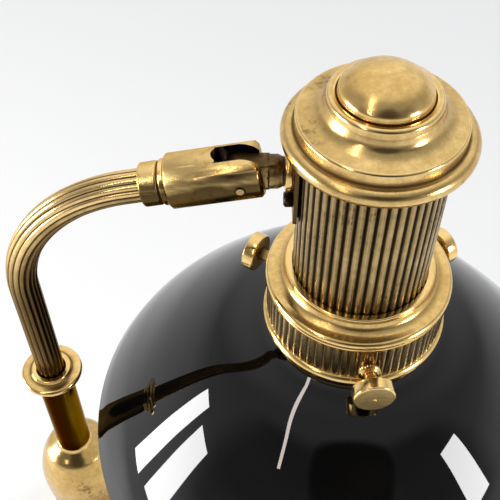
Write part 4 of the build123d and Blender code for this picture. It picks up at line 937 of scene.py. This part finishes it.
def make_black_glass():
    """Black glass with an opal lining, faint smears and dust."""
    black, dusty, opal_white = (0.0012, 0.0011, 0.0011), (0.25, 0.24, 0.22), (0.82, 0.81, 0.77)
    material, tree, shader, coords = start("black_glass")
    dust = use(tree, DUST, Coords=coords, Amount=0.5).outputs["Mask"]
    lined = attribute(tree, "inside")
    outer = mix(tree, times(tree, dust, 0.02), black, dusty)
    tree.links.new(mix(tree, lined, outer, opal_white), shader.inputs["Base Color"])
    rough = plus(tree, 0.018, times(tree, dust, 0.07), times(tree, lined, 0.12))
    tree.links.new(rough, shader.inputs["Roughness"])
    shader.inputs["IOR"].default_value = 1.5
    return material


def plain(name, low, high, rough, scale, depth=0.00004):
    """Non-metal with a mottled colour and a fine grain."""
    material, tree, shader, coords = start(name)
    value = noise(tree, coords, scale)
    dust = use(tree, DUST, Coords=coords, Amount=0.4).outputs["Mask"]
    mottle = ramp(tree, value, low=0.35, high=0.65)
    tree.links.new(mix(tree, mottle, low, high), shader.inputs["Base Color"])
    tree.links.new(plus(tree, rough, times(tree, dust, 0.3)), shader.inputs["Roughness"])
    bump(tree, shader, value, strength=0.4, depth=depth)
    return material


# Other finishes, and which node has which
SMOOTH_GRAIN, CAST_GRAIN = 0.00001, 0.0002
black_glass = make_black_glass()
rubber = plain("black_rubber", (0.028, 0.027, 0.026), (0.05, 0.048, 0.045), 0.62, 900.0)
bakelite = plain("black_bakelite", (0.012, 0.010, 0.009), (0.026, 0.021, 0.018), 0.16, 500.0, SMOOTH_GRAIN)
iron = plain("cast_iron", (0.03, 0.03, 0.03), (0.07, 0.065, 0.06), 0.6, 700.0, CAST_GRAIN)
porcelain = plain("porcelain", (0.78, 0.76, 0.70), (0.84, 0.82, 0.77), 0.14, 200.0, SMOOTH_GRAIN)
opal = plain("opal_glass", (0.80, 0.80, 0.77), (0.86, 0.86, 0.84), 0.12, 120.0, SMOOTH_GRAIN)
FINISH = {
    "shade": black_glass,
    "bulb_glass": opal,
    "holder_core": porcelain,
    "base_pad": rubber,
    "base_weight": iron,
    "cord_bush": bakelite,
    "switch_body": bakelite,
    "switch_button": bakelite,
    "cap": brass_cap,
    "base_shell": brass_base,
    "column_foot": brass_base,
    "column_tube": brass_base,
    "column_vase": brass_base,
    "holder_shell": brass_cover,
    "gallery_skirt": brass_skirt,
    "arm_tube": brass_arm,
    "post_tube": brass_post,
    "knuckle_barrel": brass_knuckle,
    "arm_ferrule": brass_knuckle,
    "knuckle_pin": brass_pin,
    "knuckle_tongue": brass_neck,
    "swivel_washer": steel_dark,
    "bracket_plate": brass_knuckle,
    "bracket_screw": steel_dark,
    "swivel_grub": steel_dark,
}
SLOT_FINISH = {"brass": brass, "steel": steel}
for piece in list(bpy.data.objects):
    node = piece.name.removesuffix("_look")
    if piece.type == "MESH" and node in SLOT_OF:
        piece.data.materials.clear()
        piece.data.materials.append(FINISH.get(node, SLOT_FINISH.get(SLOT_OF[node], bakelite)))

# Pale floor that fades into the room before it reaches the lamps
FLOOR_HALF = 6
FLOOR_FADE_END, FLOOR_FADE_START = 1.35, 0.45
floor_corners = [(FLOOR_HALF * x, FLOOR_HALF * y, 0) for x, y in ((-1, -1), (1, -1), (1, 1), (-1, 1))]
floor_mesh = bpy.data.meshes.new("floor")
floor_mesh.from_pydata(floor_corners, [], [(0, 1, 2, 3)])
floor = add_object("floor", floor_mesh)
floor_look, floor_tree, floor_shader, floor_coords = start("pale_floor")
floor_shader.inputs["Base Color"].default_value = (0.975, 0.985, 0.995, 1)
floor_shader.inputs["Roughness"].default_value = 0.7
from_middle = floor_tree.nodes.new("ShaderNodeVectorMath")
from_middle.operation = "LENGTH"
floor_tree.links.new(floor_coords, from_middle.inputs[0])
floor_fade = ramp(floor_tree, from_middle.outputs["Value"], FLOOR_FADE_END, FLOOR_FADE_START)
floor_tree.links.new(floor_fade, floor_shader.inputs["Alpha"])
floor_mesh.materials.append(floor_look)


def facing(tree, direction, way):
    """How far a direction faces a way: 1 straight at it, 0 square to it."""
    node = tree.nodes.new("ShaderNodeVectorMath")
    node.operation = "DOT_PRODUCT"
    tree.links.new(direction, node.inputs[0])
    node.inputs[1].default_value = way
    return node.outputs["Value"]


# Soft studio room: pale below and greyer above, with a dark patch and a dim band in front and a glow behind
ROOM_BELOW, ROOM_ABOVE = (0.95, 0.96, 0.98, 1), (0.46, 0.47, 0.48, 1)
ROOM_TONES = ((0.5, 0.96), (0.56, 0.90), (0.66, 0.58), (0.80, 0.50))
ROOM_BLUE = 1.02
ROOM_STRENGTH = 0.9
DARK_WAY, DARK_TONE = (0.05, -0.80, 0.60), (0.03, 0.025, 0.02)
PATCH_COVER, BAND_COVER = 0.93, 0.66
GLOW_WAY, GLOW_TONE = (0.06, 0.62, 0.78), (1.20, 1.20, 1.19)
world = bpy.data.worlds.new("studio")
bpy.context.scene.world = world
world.use_nodes = True
sky = world.node_tree
direction = sky.nodes.new("ShaderNodeTexCoord").outputs["Generated"]
_, sky_y, sky_z = axes(sky, direction)
tone = sky.nodes.new("ShaderNodeValToRGB")
sky.links.new(plus(sky, times(sky, sky_z, 0.5), 0.5), tone.inputs["Fac"])
stops = tone.color_ramp.elements
stops[0].position, stops[0].color = 0.0, ROOM_BELOW
stops[1].position, stops[1].color = 1.0, ROOM_ABOVE
for spot, level in ROOM_TONES:
    stops.new(spot).color = (level, level, level * ROOM_BLUE, 1)
patch = times(sky, ramp(sky, facing(sky, direction, DARK_WAY), low=0.89, high=0.95), PATCH_COVER)
front = ramp(sky, sky_y, low=-0.12, high=-0.45)
band = times(sky, ramp(sky, sky_z, low=0.0, high=0.14), ramp(sky, sky_z, low=0.86, high=0.66))
shadow = calc(sky, "MAXIMUM", patch, times(sky, front, band, BAND_COVER))
glow = ramp(sky, facing(sky, direction, GLOW_WAY), low=0.55, high=0.93)
lit = mix(sky, glow, tone.outputs["Color"], GLOW_TONE)
background = sky.nodes["Background"]
sky.links.new(mix(sky, shadow, lit, DARK_TONE), background.inputs["Color"])
background.inputs["Strength"].default_value = ROOM_STRENGTH


def softbox(name, spot, aim, width, height, power, upright=(0.0, 0.0, 1.0), tint=(1, 1, 1)):
    """Area lamp at a spot that faces its aim, its height side along the upright direction."""
    data = bpy.data.lights.new(name, "AREA")
    data.shape = "RECTANGLE"
    data.size, data.size_y, data.energy, data.color = width, height, power, tint
    lamp = add_object(name, data)
    back = (Vector(spot) - Vector(aim)).normalized()
    side = Vector(upright).cross(back).normalized()
    turn = Matrix((side, back.cross(side), back)).transposed()
    lamp.matrix_world = Matrix.Translation(spot) @ turn.to_4x4()
    lamp.visible_camera = False


# Softboxes: two window panes on the left, one on the right, and a narrow warm strip above the front
SHOULDER = (0.07, -0.04, 0.32)
softbox("window_left_a", (-1.45, 0.06, 0.45), SHOULDER, width=0.22, height=0.74, power=10.0)
softbox("window_left_b", (-1.42, -0.33, 0.42), SHOULDER, width=0.30, height=0.60, power=10.5)
softbox("window_right", (1.36, -0.68, 0.72), SHOULDER, width=0.30, height=0.55, power=9.0)
softbox(
    "strip", (-0.39, -0.412, 1.288), (0.092, -0.042, 0.327), width=0.035, height=1.25, power=2.0,
    upright=(0.356, 0.80, 0.48), tint=(1, 0.88, 0.78),
)

# Camera at the photograph's place
CAMERA_SPOT = (0.0782, -0.1808, (FITTER + 224.8) * MM)
CAMERA_DOWN = 49.75
view = bpy.data.cameras.new("camera")
view.sensor_width = 36.0
view.lens = 61.2
view.clip_start = 0.01
camera = add_object("camera", view)
camera.location = CAMERA_SPOT
camera.rotation_euler = (radians(90 - CAMERA_DOWN), 0, 0)
bpy.context.scene.camera = camera
bpy.context.scene.view_settings.view_transform = "Standard"
